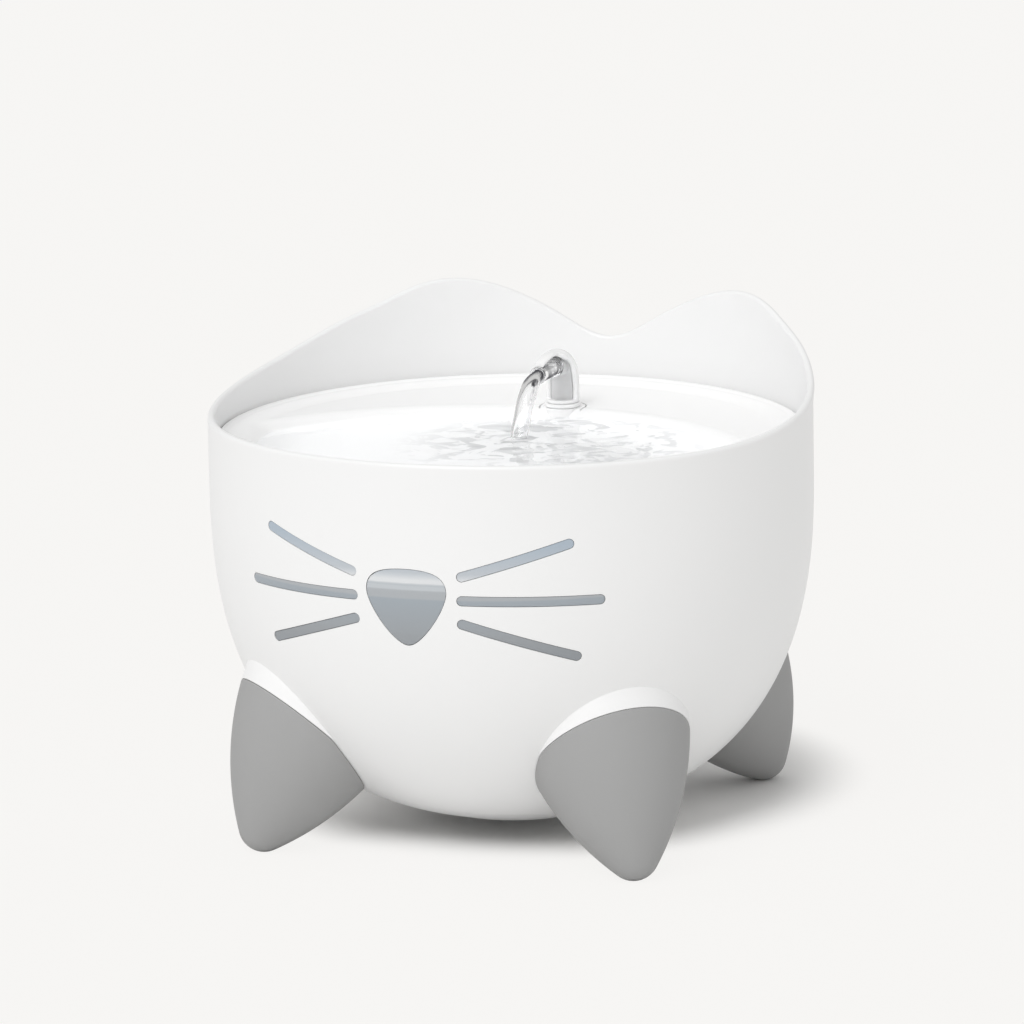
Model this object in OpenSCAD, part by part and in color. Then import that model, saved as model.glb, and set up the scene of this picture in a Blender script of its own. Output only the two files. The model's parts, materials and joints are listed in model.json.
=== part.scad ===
// Cat drinking fountain: a round bowl on four feet, a lift-out tray with a pool,
// a small spout, a filter cartridge and a submerged pump.
// Millimetres. The origin is on the ground below the middle of the bowl.
// +Z is up and the face looks along -Y.

/* [Bowl] */
// Outer radius of the bowl at its wall
bowl_r = 118; // [114:1:124]
// Thickness of the bowl's wall
wall = 3; // [2.6:0.1:3.4]
// Height of the bowl's underside above the ground
bowl_lift = 4.7; // [3:0.1:8]
// Height at which the bowl's side turns upright
shoulder_z = 137; // [132:1:140]
// How square the bowl's section is, 2 for an ellipse
bowl_power = 2.5; // [2.3:0.05:2.7]
// Height of the front rim
rim_z = 164.5; // [162:0.5:170]
// Height of the ears
ear_z = 194.8; // [190:0.2:200]
// Distance of each ear's peak from the middle
ear_x = 62; // [58:1:66]
// Radius of the ears' tips
ear_round = 38; // [34:1:40]
// Height of the dip between the ears
valley_z = 170.7; // [168:0.1:176]
// Radius of the dip between the ears
valley_round = 22; // [18:1:26]
// Outward lean of the wall above the front rim, per millimetre of height
rim_lean = 0.08; // [0.04:0.01:0.1]
// Width of the ledge that carries the tray
ledge_w = 3.2; // [2.6:0.1:4]

/* [Face] */
// Height of the middle of the face
face_z = 112.9; // [111:0.5:115]
// Width of the nose
nose_w = 32.2; // [28:0.2:34]
// Height of the nose
nose_h = 30.2; // [27:0.2:32]
// Width of a whisker slot
whisker_w = 4; // [3.2:0.1:4.6]
// Angle from the front at which the whiskers start
whisker_start = 10.8; // [10:0.1:12]
// Thickness of the clear window behind the face
window_t = 2; // [1.6:0.1:2.4]
// Thickness of the window's seal
seal_t = 1.1; // [0.8:0.1:1.4]

/* [Feet] */
// Angle of each foot from the front or the rear
foot_angle = 43.7; // [42:0.1:47]
// Distance of each foot's tip inside the bowl's radius
foot_inset = 8.5; // [7:0.1:12]
// Inward tilt of each foot
foot_tilt = 30.5; // [28:0.5:32]
// Radius of the foot's tip
foot_tip_r = 10; // [9:0.1:12]
// Radius of the foot's bulging flank
foot_flank_r = 115; // [105:1:125]
// Angle between the foot's axis and its flank at the tip
foot_open = 40.2; // [38:0.2:42]
// Height of the worn flat under the tip
foot_flat = 0.5; // [0.3:0.1:0.8]
// Thickness of a boot
boot_t = 2.6; // [2:0.1:3]
// Height of the top of a boot
boot_z = 64.1; // [62:0.1:67]
// Slope of a boot's top edge
boot_slope = 43.8; // [41:0.2:46]

/* [Tray] */
// Depth of the tray's edge below the front rim
tray_drop = 9.6; // [8:0.2:12]
// Thickness of the tray
tray_t = 3; // [2.4:0.1:3.4]
// Depth of the pool's floor below the tray's edge
pool_depth = 13.9; // [12:0.1:15]
// Radius of the flat part of the pool's floor
pool_floor_r = 84; // [82:1:88]
// Height of the rear shelf below the tray's edge
shelf_drop = 1.9; // [1.4:0.1:2.4]
// Radius of the pool's rear edge
pool_back_r = 112; // [108:1:116]
// Distance of the pool's rear edge from the middle
pool_back_y = 51.5; // [49:0.5:52]

/* [Spout] */
// Distance of the spout from the middle
spout_y = 60.4; // [59:0.2:62]
// Outer radius of the spout's arch
arch_r = 6.7; // [6.4:0.1:7]
// Radius of the arch's bend
arch_bend = 7.5; // [7.3:0.1:8.2]
// Height of the water's outlet above the shelf
outlet_rise = 17.1; // [16:0.1:18]
// How far the outlet reaches forward of the spout's axis
outlet_reach = 28.5; // [26:0.5:30]
// How far the hood's tip reaches forward of the spout's axis
hood_reach = 11.3; // [10:0.1:13]
// How far the open face of the arch bows to the rear
open_bow = 3.5; // [2.5:0.1:4]
// Radius of the boss that holds the spout
boss_r = 8.9; // [8.6:0.1:9.4]

/* [Filter] */
// Distance of the filter from the middle
filter_y = 62; // [60:0.5:63]
// Length of the filter well
well_w = 58; // [54:0.5:59]
// Width of the filter well
well_d = 26; // [24:0.5:27]
// Depth of the filter well below the pool's floor
well_deep = 14.5; // [13:0.5:18]
// Height of the filter's grille below the tray's edge
grille_drop = 5.7; // [5:0.1:7]

/* [Pump] */
// Length of the pump's motor block
motor_l = 34; // [30:1:36]
// Width of the pump
pump_w = 44; // [40:1:46]
// Height of the pump
pump_h = 32; // [30:1:34]
// Distance of the pump's outlet from the middle
pump_y = 16; // [13:0.5:18]
// Radius of the impeller
impeller_r = 9; // [8:0.2:9.6]
// Number of blades on the impeller
blades = 6; // [4:1:8]
// Radius of the rotor's magnet
magnet_r = 6; // [5:0.1:6.4]
// Radius of the rotor's shaft
shaft_r = 1; // [0.8:0.1:1.2]
// Outer radius of the riser tube
tube_r = 4; // [3.8:0.1:4.2]
// Wall of the riser tube
tube_t = 1.2; // [1:0.1:1.3]
// Radius of the pump lead's passage in the grommet
lead_r = 2; // [1.6:0.1:2.4]
// Height of the lead's passage
lead_z = 131; // [126:1:134]

/* [Hidden] */
$fn = 64;

// Clearances
fit = 0.1;         // between a seated piece and its seat, on each side
run = 0.05;        // around a turning shaft
slip = 0.4;        // around a piece that lifts out
seat = 0.2;        // under a piece that rests
eps = 0.01;
far = 300;         // longer than anything here

// Colours
white = [0.95, 0.95, 0.95];
grey = [0.62, 0.62, 0.62];
clear = [0.72, 0.80, 0.86, 0.6];
dark = [0.25, 0.25, 0.27];

// ---- bowl outline -------------------------------------------------------
lip_top = ear_z + 4;
// Profile of a surface lying "inset" inside the bowl's outer one, from the middle to the shoulder
function bowl_curve(inset, steps) = [
    for (i = [0 : steps])
        let (a = 90 * i / steps)
        [(bowl_r - inset) * pow(sin(a), 2 / bowl_power),
         shoulder_z - (shoulder_z - bowl_lift - inset) * pow(cos(a), 2 / bowl_power)]
];

// Solid of the bowl's form, lying "inset" inside the outer surface, up to "top"
module bowl_form(inset, top) {
    rotate_extrude($fn = 96)
        polygon(concat(
            bowl_curve(inset, 15),
            [[bowl_r - inset, rim_z],
             [bowl_r - inset + rim_lean * (top - rim_z), top],
             [0, top]]));
}

// Part of the wall between two insets, two heights and over an angle to each side
module wall_band(inset_out, inset_in, z_low, z_high, side_angle) {
    intersection() {
        difference() {
            bowl_form(inset_out, lip_top);
            bowl_form(inset_in, lip_top + 1);
        }
        rotate([0, 0, -90 - side_angle])
            rotate_extrude(angle = 2 * side_angle, $fn = 96)
                translate([bowl_r / 2, z_low])
                    square([bowl_r, z_high - z_low]);
    }
}

// ---- rim ----------------------------------------------------------------
rim_sweep_r = 276;      // side view: radius of the rim's rise to the rear
rim_sweep_y = -30;      // side view: where that rise starts
valley_mid = valley_z + valley_round;
ear_mid = ear_z - ear_round;
ear_slope = atan2(ear_mid - valley_mid, ear_x)
          + asin((valley_round + ear_round) / norm([ear_x, ear_mid - valley_mid]));

// Half of the rear view's outline, from the dip to beyond the side
rear_outline = concat(
    [for (i = [0 : 4]) let (a = ear_slope * i / 4)
        [valley_round * sin(a), valley_mid - valley_round * cos(a)]],
    [for (i = [0 : 10]) let (a = ear_slope * (1 - i / 5))
        [ear_x - ear_round * sin(a), ear_mid + ear_round * cos(a)]],
    [[ear_x + 80, ear_mid + ear_round * cos(ear_slope) - (80 - ear_round * sin(ear_slope)) * tan(ear_slope)]]);

// Everything above the rim
module above_rim() {
    // rise of the side view
    rotate([90, 0, 90])
        translate([0, 0, -far])
            linear_extrude(2 * far)
                polygon(concat(
                    [[-far, rim_z]],
                    [for (i = [0 : 24]) let (y = rim_sweep_y + i * 7)
                        [y, rim_z + rim_sweep_r - sqrt(pow(rim_sweep_r, 2) - pow(y - rim_sweep_y, 2))]],
                    [[bowl_r + 40, far], [-far, far]]));
    // ears and dip of the rear view
    rotate([90, 0, 0])
        translate([0, 0, -far])
            linear_extrude(far)
                for (side = [0, 1])
                    mirror([side, 0])
                        polygon(concat(rear_outline, [[ear_x + 80, far], [0, far]]));
}

// ---- face ---------------------------------------------------------------
nose_base = face_z - 18.5;
// Height of the start and the end of each whisker from the face's middle, and its end angle
whiskers = [[9.3, 21.3, 30.5], [0, -0.9, 36.2], [-9.2, -22.7, 31.6]];

function bezier(a, b, c, d, t) =
    pow(1 - t, 3) * a + 3 * pow(1 - t, 2) * t * b + 3 * (1 - t) * t * t * c + t * t * t * d;
// Right half of the nose, from the tip up, drawn "inset" inside its outline
function nose_half(inset) =
    let (w = nose_w / 2 - inset, low = inset, high = nose_h - inset, wide = 0.71 * nose_h)
    concat(
        [for (i = [0 : 8]) bezier([0, low], [0.34 * w, low], [w, 0.5 * nose_h], [w, wide], i / 8)],
        [for (i = [1 : 6]) bezier([w, wide], [w, 0.93 * high], [0.62 * w, high], [0, high], i / 6)]);

module nose_prism(inset) {
    rotate([90, 0, 0])
        translate([0, nose_base, bowl_r / 2])
            linear_extrude(bowl_r)
                for (side = [0, 1])
                    mirror([side, 0])
                        polygon(nose_half(inset));
}

module whisker_prism(row, inset) {
    mid = (whisker_start + row[2]) / 2;
    half = bowl_r * sin((row[2] - whisker_start) / 2);
    rise = row[1] - row[0];
    width = whisker_w - 2 * inset;
    rotate([0, 0, mid - 90])
        rotate([90, 0, 90])
            translate([-half, face_z + row[0], bowl_r / 2])
                linear_extrude(bowl_r)
                    rotate(atan2(rise, 2 * half)) {
                        translate([0, -width / 2])
                            square([norm([2 * half, rise]), width]);
                        circle(d = width, $fn = 24);
                        translate([norm([2 * half, rise]), 0])
                            circle(d = width, $fn = 24);
                    }
}

module face_prisms(inset) {
    nose_prism(inset);
    for (side = [0, 1])
        mirror([side, 0, 0])
            for (row = whiskers)
                whisker_prism(row, inset);
}

// ---- feet ---------------------------------------------------------------
foot_rho = bowl_r - foot_inset;
foot_mid_r = foot_flank_r - foot_tip_r;
foot_len = 78;
// Solid of a foot's form about its own axis, drawn "inset" inside its surface
module foot_form(inset, from = -100) {
    flank_top = asin((foot_len - foot_mid_r * sin(foot_open)) / (foot_flank_r - inset));
    intersection() {
        rotate_extrude($fn = 72)
            polygon(concat(
                [for (i = [0 : 7]) let (a = -90 + (90 - foot_open) * i / 7)
                    [(foot_tip_r - inset) * cos(a), (foot_tip_r - inset) * sin(a)]],
                [for (i = [1 : 9]) let (a = -foot_open + (flank_top + foot_open) * i / 9)
                    [(foot_flank_r - inset) * cos(a) - foot_mid_r * cos(foot_open),
                     (foot_flank_r - inset) * sin(a) + foot_mid_r * sin(foot_open)]],
                [[0, foot_len]]));
        translate([0, 0, from])
            cylinder(r = foot_len, h = far);
    }
}

// Puts a foot's own axis in its place, with +X pointing outwards
module foot_place() {
    translate([foot_rho, 0, foot_tip_r - foot_flat])
        rotate([0, -foot_tilt, 0])
            children();
}

// Everything below a boot's top edge, lowered by "drop"
module below_boot_top(drop) {
    translate([foot_rho, 0, boot_z - drop])
        rotate([0, -boot_slope, 0])
            translate([-far / 2, -far / 2, -far])
                cube(far);
}

module at_foot(right, rear) {
    rotate([0, 0, (rear ? 90 : -90) + (right == rear ? -1 : 1) * foot_angle])
        children();
}

module at_each_foot() {
    for (right = [false, true])
        for (rear = [false, true])
            at_foot(right, rear)
                children();
}

snap_r = 0.9;
snap_along = 9;     // distance of the snap bead from the middle of the tip, along the foot
module snap_bead(extra) {
    flank = (foot_flank_r - boot_t - fit) * cos(asin((snap_along - foot_mid_r * sin(foot_open))
            / (foot_flank_r - boot_t - fit))) - foot_mid_r * cos(foot_open);
    translate([0, 0, snap_along])
        rotate_extrude($fn = 72)
            translate([flank, 0])
                circle(r = snap_r + extra, $fn = 20);
}

// Leg: full size above the boot, a core inside it below, and a hollow open at the tip
module leg() {
    core = boot_t + fit;
    difference() {
        union() {
            difference() {
                foot_place()
                    foot_form(0);
                below_boot_top(0);
            }
            foot_place() {
                foot_form(core, snap_along - 4);
                snap_bead(0);
            }
        }
        foot_place()
            foot_form(core + wall);
    }
}

module boot() {
    color(grey)
        difference() {
            intersection() {
                foot_place()
                    foot_form(0);
                below_boot_top(fit);
                translate([0, -far / 2, 0])
                    cube(far);
            }
            foot_place() {
                foot_form(boot_t);
                snap_bead(fit);
            }
            bowl_form(-fit, shoulder_z);
        }
}

// ---- bowl ---------------------------------------------------------------
tray_z = rim_z - tray_drop;
flange_t = 3.5;
ledge_z = tray_z - flange_t - seat;
pad_r = 34;
pad_z = bowl_lift + wall + 3.8;
grommet_r = lead_r + 4;

module bowl() {
    color(white)
        difference() {
            union() {
                difference() {
                    union() {
                        bowl_form(0, lip_top);
                        at_each_foot()
                            leg();
                    }
                    bowl_form(wall, lip_top + 1);
                }
                // floor pad under the pump
                intersection() {
                    bowl_form(wall / 2, shoulder_z);
                    cylinder(r = pad_r, h = pad_z);
                }
                // ledge under the tray
                rotate_extrude($fn = 96)
                    polygon([
                        [bowl_r - wall / 2, ledge_z],
                        [bowl_r - wall - ledge_w, ledge_z],
                        [bowl_r - wall - ledge_w, ledge_z - 1.5],
                        [bowl_r - wall / 2, ledge_z - 3 - ledge_w]]);
            }
            above_rim();
            face_prisms(0);
            // lead's passage
            translate([0, bowl_r + 10, lead_z])
                rotate([90, 0, 0])
                    cylinder(r = grommet_r, h = 20 + wall);
        }
}

band_in = wall + seal_t + 2 * run;
band_drop = 30;      // the window's band reaches this far below the face's middle
band_rise = 28;      // and this far above it
band_low = face_z - band_drop;
band_high = face_z + band_rise;
band_side = 41;

module level_window() {
    color(clear) {
        wall_band(band_in, band_in + window_t, band_low, band_high, band_side);
        intersection() {
            face_prisms(2 * fit);
            wall_band(fit, band_in + window_t / 2, band_low, band_high, band_side);
        }
    }
}

module window_seal() {
    seal_w = 2.6;
    seal_side = seal_w / bowl_r * 180 / PI;
    color(grey)
        difference() {
            wall_band(wall + run, wall + run + seal_t, band_low, band_high, band_side);
            wall_band(wall - 1, wall + seal_t + 2, band_low + seal_w, band_high - seal_w,
                      band_side - seal_side);
        }
}

module cable_grommet() {
    lip = 1.6;
    lip_t = 1;
    inner = bowl_r - wall - lip_t - 0.5;
    color(dark)
        translate([0, inner, lead_z])
            rotate([-90, 0, 0])
                difference() {
                    union() {
                        cylinder(r = grommet_r + lip, h = lip_t);
                        cylinder(r = grommet_r - fit, h = wall + 2 * lip_t + 0.6);
                        translate([0, 0, wall + lip_t + 0.6])
                            cylinder(r = grommet_r + lip, h = lip_t);
                    }
                    translate([0, 0, -1])
                        cylinder(r = lead_r, h = 20);
                }
}

module foot_boot_front_left() { at_foot(false, false) boot(); }
module foot_boot_front_right() { at_foot(true, false) boot(); }
module foot_boot_rear_left() { at_foot(false, true) boot(); }
module foot_boot_rear_right() { at_foot(true, true) boot(); }

// ---- tray ---------------------------------------------------------------
tray_r = bowl_r - wall - slip;
pool_lip_r = tray_r - 2.6;
pool_z = tray_z - pool_depth;
shelf_z = tray_z - shelf_drop;
back_mid_y = pool_back_y - pool_back_r;
back_run = 20;       // the pool's rear wall takes this length from its foot to the shelf
back_foot = 14;      // and starts this far in front of the pool's rear edge
shelf_flat_r = 50;   // the shelf is level inside this radius
boss_root = 8;       // the boss reaches this far below the tray's underside
boss_z = shelf_z - 0.5;
groove_z = boss_z - 2.5;
bore_r = boss_r - 2.75;
function smooth(t) = t * t * (3 - 2 * t);

// Space inside the pool's outer wall, lowered by "drop"
module pool_round(drop) {
    rotate_extrude($fn = 96)
        polygon(concat(
            [[0, pool_z - drop]],
            [for (i = [0 : 10]) let (t = i / 10)
                [pool_floor_r + (pool_lip_r - pool_floor_r) * t,
                 pool_z - drop + pool_depth * smooth(t)]],
            [[pool_lip_r, tray_z + 1], [0, tray_z + 1]]));
}

// Space in front of the pool's rear wall, lowered by "drop"
module pool_back(drop) {
    translate([0, back_mid_y, 0])
        rotate_extrude($fn = 120)
            polygon(concat(
                [[0, pool_z - drop]],
                [for (i = [0 : 8]) let (t = i / 8)
                    [pool_back_r - back_foot + back_run * t,
                     pool_z - drop + (shelf_z - pool_z) * smooth(t)]],
                [[pool_back_r + back_run - back_foot, tray_z + 1], [0, tray_z + 1]]));
}

// Space above the rear shelf, lowered by "drop"
module shelf_space(drop) {
    rotate_extrude($fn = 96)
        polygon(concat(
            [[0, shelf_z - drop]],
            [for (i = [0 : 8]) let (t = i / 8)
                [shelf_flat_r + (pool_lip_r - shelf_flat_r) * t,
                 shelf_z - drop + shelf_drop * t * t]],
            [[pool_lip_r, tray_z + 1], [0, tray_z + 1]]));
}

module tray_space(drop) {
    intersection() {
        pool_round(drop);
        pool_back(drop);
    }
    shelf_space(drop);
}

module stadium(w, d) {
    square([w - d, d], center = true);
    for (side = [-1, 1])
        translate([side * (w - d) / 2, 0])
            circle(d = d);
}

well_t = 2.4;
well_floor_z = pool_z - well_deep;

module tray() {
    groove = 0.8;
    color(white)
        difference() {
            union() {
                difference() {
                    union() {
                        intersection() {
                            tray_space(tray_t);
                            cylinder(r = tray_r - 3, h = tray_z);
                        }
                        translate([0, 0, tray_z - flange_t])
                            cylinder(r = tray_r, h = flange_t, $fn = 96);
                        // outside of the filter well
                        translate([0, -filter_y, well_floor_z - 2])
                            linear_extrude(pool_z - well_floor_z)
                                stadium(well_w + 2 * well_t, well_d + 2 * well_t);
                    }
                    tray_space(0);
                    // groove around the boss
                    translate([0, spout_y, groove_z])
                        cylinder(r = boss_r + groove, h = far);
                }
                // boss for the spout
                translate([0, spout_y, pool_z - tray_t - boss_root])
                    cylinder(r = boss_r, h = boss_z - pool_z + tray_t + boss_root);
                translate([0, spout_y, groove_z - tray_t])
                    cylinder(r = boss_r + groove + 2, h = tray_t);
            }
            // bore for the spout's stem
            translate([0, spout_y, 0])
                cylinder(r = bore_r, h = far);
            // inside of the filter well
            translate([0, -filter_y, well_floor_z])
                linear_extrude(50)
                    stadium(well_w, well_d);
            // drain slots
            for (i = [-3 : 3])
                translate([i * 6.5, -filter_y, well_floor_z - 5])
                    linear_extrude(10)
                        stadium_along(well_d - 8, 3);
        }
}

// Stadium with its length along Y
module stadium_along(l, w) {
    rotate(90)
        stadium(l, w);
}

// ---- spout --------------------------------------------------------------
flange_r = arch_r + 0.5;
flange_h = 1.5;
flange_z = boss_z + seat;
stem_out = 4;        // the stem reaches this far below the boss
stem_r = bore_r - fit - run;
stem_top = flange_z + flange_h;
head_z = stem_top + seat;
stem_low = pool_z - tray_t - boss_root - stem_out;
ring_z = boss_z - 6;
ring_r = 0.6;
spigot_r = 3.2;
water_r = 2.4;
outlet_z = shelf_z + outlet_rise;
bend_z = outlet_z - arch_bend;
insert_r = arch_r - 2.3;
collar_h = 1.2;      // closed ring at the foot of the arch
open_y = 1.5;        // the open face starts this far in front of the spout's axis

module spout_stem() {
    color(white)
        translate([0, spout_y, 0])
            difference() {
                union() {
                    translate([0, 0, flange_z])
                        cylinder(r = flange_r, h = flange_h);
                    translate([0, 0, stem_low])
                        cylinder(r = stem_r, h = flange_z - stem_low + eps);
                    translate([0, 0, flange_z])
                        cylinder(r = spigot_r, h = flange_h + 5);
                }
                // socket for the riser tube
                translate([0, 0, stem_low - 1])
                    cylinder(r = tube_r + fit, h = boss_z - stem_low - 4);
                cylinder(r = water_r, h = far);
                // groove for the seal ring
                translate([0, 0, ring_z])
                    difference() {
                        cylinder(r = stem_r + 1, h = 2 * ring_r + 4 * run, center = true);
                        cylinder(r = stem_r - 2 * ring_r + run, h = 5, center = true);
                    }
            }
}

module stem_o_ring() {
    color(dark)
        translate([0, spout_y, ring_z])
            rotate_extrude()
                translate([stem_r - ring_r + 2 * run, 0])
                    circle(r = ring_r - run / 2, $fn = 24);
}

// A round bar of radius r along the spout: up the leg, round the bend and forward to "front"
module along_spout(r, low, front) {
    translate([0, spout_y, low])
        cylinder(r = r, h = bend_z - low);
    bend_sweep()
        circle(r = r);
    translate([0, spout_y - arch_bend, outlet_z])
        rotate([90, 0, 0])
            cylinder(r = r, h = front - arch_bend);
}

// Sweeps a 2D section round the bend; +X of the section faces away from the bend's middle
module bend_sweep() {
    translate([0, spout_y - arch_bend, bend_z])
        rotate([90, 0, 90])
            rotate_extrude(angle = 90)
                translate([arch_bend, 0])
                    children();
}

// Space in front of the arch's open face, which runs from the collar up to the hood's tip
module open_face() {
    low = head_z + collar_h;
    rise = outlet_z + arch_r - low;
    lean = hood_reach - open_y;
    across = norm([lean, rise]);
    curve = [for (i = [0 : 12]) let (s = 1.12 * i / 12, bow = 4 * open_bow * s * (1 - s))
        [-open_y - lean * s + bow * rise / across, low + rise * s + bow * lean / across]];
    translate([-far / 2, spout_y, 0])
        rotate([90, 0, 90])
            linear_extrude(far)
                polygon(concat(curve, [[-outlet_reach, curve[12][1]], [-outlet_reach, low]]));
}

module spout_shell() {
    color(white)
        difference() {
            along_spout(arch_r, head_z, hood_reach + 2);
            along_spout(insert_r + fit, head_z - 1, hood_reach + 3);
            open_face();
        }
}

module spout_insert() {
    color(grey)
        difference() {
            along_spout(insert_r, head_z, arch_bend + 1);
            along_spout(water_r, head_z - 1, arch_bend + 3);
            translate([0, spout_y, head_z - 1])
                cylinder(r = spigot_r + run, h = 6.2 + seat);
            // seat of the nozzle
            translate([0, spout_y - arch_bend + 2, outlet_z])
                rotate([90, 0, 0])
                    cylinder(r = water_r + 0.8 + run, h = 10);
        }
}

module spout_nozzle() {
    nozzle_back = arch_bend - 2 + fit;
    color(clear)
        translate([0, spout_y - nozzle_back, outlet_z])
            rotate([90, 0, 0])
                difference() {
                    cylinder(r = water_r + 0.8, h = outlet_reach - nozzle_back);
                    translate([0, 0, -1])
                        cylinder(r = water_r, h = outlet_reach + 2);
                }
}

// ---- filter -------------------------------------------------------------
frame_t = 1.8;
grille_z = tray_z - grille_drop;
frame_low = well_floor_z + seat;
frame_w = well_w - 2 * slip;
frame_d = well_d - 2 * slip;
pad_w = frame_w - 2 * frame_t - 2 * fit;
pad_d = frame_d - 2 * frame_t - 2 * fit;

module filter_frame() {
    color(grey)
        translate([0, -filter_y, 0])
            difference() {
                union() {
                    translate([0, 0, frame_low])
                        linear_extrude(grille_z - frame_low)
                            stadium(frame_w, frame_d);
                    translate([0, 0, pool_z + seat])
                        linear_extrude(1.4)
                            stadium(well_w + 5, well_d + 5);
                }
                translate([0, 0, frame_low - 1])
                    linear_extrude(grille_z - frame_t - frame_low + 1)
                        stadium(frame_w - 2 * frame_t, frame_d - 2 * frame_t);
                for (i = [-4 : 4])
                    translate([i * 5, 0, grille_z - 5])
                        linear_extrude(10)
                            stadium_along(pad_d - 3, 2.4);
            }
}

module filter_pad() {
    color(white)
        translate([0, -filter_y, grille_z - frame_t - fit - 4])
            linear_extrude(4)
                stadium(pad_w, pad_d);
}

module filter_base() {
    color(grey)
        translate([0, -filter_y, frame_low])
            linear_extrude(1.6)
                difference() {
                    stadium(pad_w, pad_d);
                    for (i = [-4 : 4])
                        translate([i * 5, 0])
                            stadium_along(pad_d - 4, 2.4);
                }
}

module filter_media() {
    low = frame_low + 1.6 + fit;
    high = grille_z - frame_t - 2 * fit - 4;
    color(dark)
        translate([0, -filter_y, low])
            linear_extrude(high - low)
                stadium(pad_w, pad_d);
}

// ---- pump ---------------------------------------------------------------
cup_h = 3;
pump_z = pad_z + cup_h;
axis_z = pump_z + pump_h / 2;
chamber_l = 12;
motor_y = pump_y - chamber_l / 2;
cover_y = pump_y + chamber_l / 2;
cover_l = 8;
chamber_r = impeller_r + 2.4;
rotor_l = 18;
bush_l = 3;
outlet_top = pump_z + pump_h + 9;
spigot_out_r = tube_r - tube_t - run;
end_cap_t = 2.5;
front_z = 4;        // the cover starts this much above the pump's underside

// Rounded block with its length along +Y, from y = 0
module pump_block(w, h, l, r) {
    rotate([-90, 0, 0])
        linear_extrude(l)
            rounded(w, h, r);
}

module rounded(w, h, r) {
    square([w - 2 * r, h], center = true);
    square([w, h - 2 * r], center = true);
    for (x = [-1, 1])
        for (y = [-1, 1])
            translate([x * (w / 2 - r), y * (h / 2 - r)])
                circle(r = r, $fn = 32);
}

// Turns local +Z to +Y, on the rotor's axis, from y = at
module on_axis(at) {
    translate([0, at, axis_z])
        rotate([-90, 0, 0])
            children();
}

cup_x = pump_w / 2 - 8;
cup_near = motor_y - motor_l + 8;
cup_far = pump_y - 2;

module pump_body() {
    color(dark)
        difference() {
            union() {
                translate([0, motor_y - motor_l + end_cap_t, axis_z])
                    pump_block(pump_w, pump_h, motor_l - end_cap_t + chamber_l, 5);
                translate([0, pump_y, axis_z])
                    cylinder(r = spigot_out_r, h = outlet_top - axis_z);
                translate([0, pump_y, pump_z + pump_h - 1])
                    cylinder(r = tube_r + 1.5, h = 2);
            }
            // impeller chamber
            on_axis(motor_y + 2)
                cylinder(r = chamber_r, h = chamber_l);
            // rotor's can
            on_axis(motor_y + 2 - rotor_l - 1)
                cylinder(r = magnet_r + 0.5, h = rotor_l + 2);
            on_axis(motor_y + 2 - rotor_l - 4)
                cylinder(r = shaft_r + 1.5 + fit, h = 4);
            // way up to the outlet
            translate([0, pump_y, axis_z])
                cylinder(r = spigot_out_r - 0.9, h = 60);
            // seats of the suction cups
            for (x = [-cup_x, cup_x])
                for (y = [cup_near, cup_far])
                    translate([x, y, pump_z - 1])
                        cylinder(r = 1.5 + fit, h = 2.6);
        }
}

module pump_end_cap() {
    color(dark)
        difference() {
            translate([0, motor_y - motor_l - fit, axis_z])
                pump_block(pump_w - 1, pump_h - 1, end_cap_t, 4.5);
            // mouth for the lead
            on_axis(motor_y - motor_l - 1)
                translate([0, -pump_h / 4, 0])
                    cylinder(r = lead_r, h = 10);
        }
}

module suction_cups() {
    color(clear)
        for (x = [-cup_x, cup_x])
            for (y = [cup_near, cup_far])
                translate([x, y, pad_z + run])
                    rotate_extrude($fn = 32)
                        polygon([[0, 1.2], [3.6, 0], [4.8, 0], [3.4, 1.8], [2.4, 2.2],
                                 [2.4, cup_h - fit], [1.5, cup_h - fit], [1.5, cup_h + 1.2], [0, cup_h + 1.2]]);
}

module shaft_bush_rear() {
    color(clear)
        on_axis(motor_y + 2 - rotor_l - 4 + fit)
            difference() {
                cylinder(r = shaft_r + 1.5, h = bush_l - 2 * fit);
                translate([0, 0, -1])
                    cylinder(r = shaft_r + run, h = 10);
            }
}

module rotor_shaft() {
    color("silver")
        on_axis(motor_y + 2 - rotor_l - 4 + 2 * fit)
            cylinder(r = shaft_r, h = rotor_l + 4 + chamber_l - 2 + 3);
}

module rotor_magnet() {
    color(dark)
        on_axis(motor_y + 2 - rotor_l)
            difference() {
                cylinder(r = magnet_r, h = rotor_l - fit);
                translate([0, 0, -1])
                    cylinder(r = shaft_r + 1.2, h = rotor_l + 2);
            }
}

module impeller() {
    disc_t = 1.4;
    hub_r = 2.6;
    blade_l = 6;
    color(white)
        difference() {
            union() {
                on_axis(motor_y + 2)
                    translate([0, 0, 0.4])
                        cylinder(r = impeller_r, h = disc_t);
                on_axis(motor_y + 2)
                    translate([0, 0, 0.4])
                        cylinder(r = hub_r, h = disc_t + blade_l);
                // sleeve inside the magnet
                on_axis(motor_y + 2 - rotor_l)
                    cylinder(r = shaft_r + 1.2 - run, h = rotor_l + 1);
                for (i = [0 : blades - 1])
                    on_axis(motor_y + 2)
                        rotate(360 / blades * i)
                            translate([hub_r - 0.6, -0.6, 0.4])
                                cube([impeller_r - hub_r + 0.4, 1.2, disc_t + blade_l]);
            }
            on_axis(motor_y - rotor_l - 5)
                cylinder(r = shaft_r + run, h = 60);
        }
}

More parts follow.
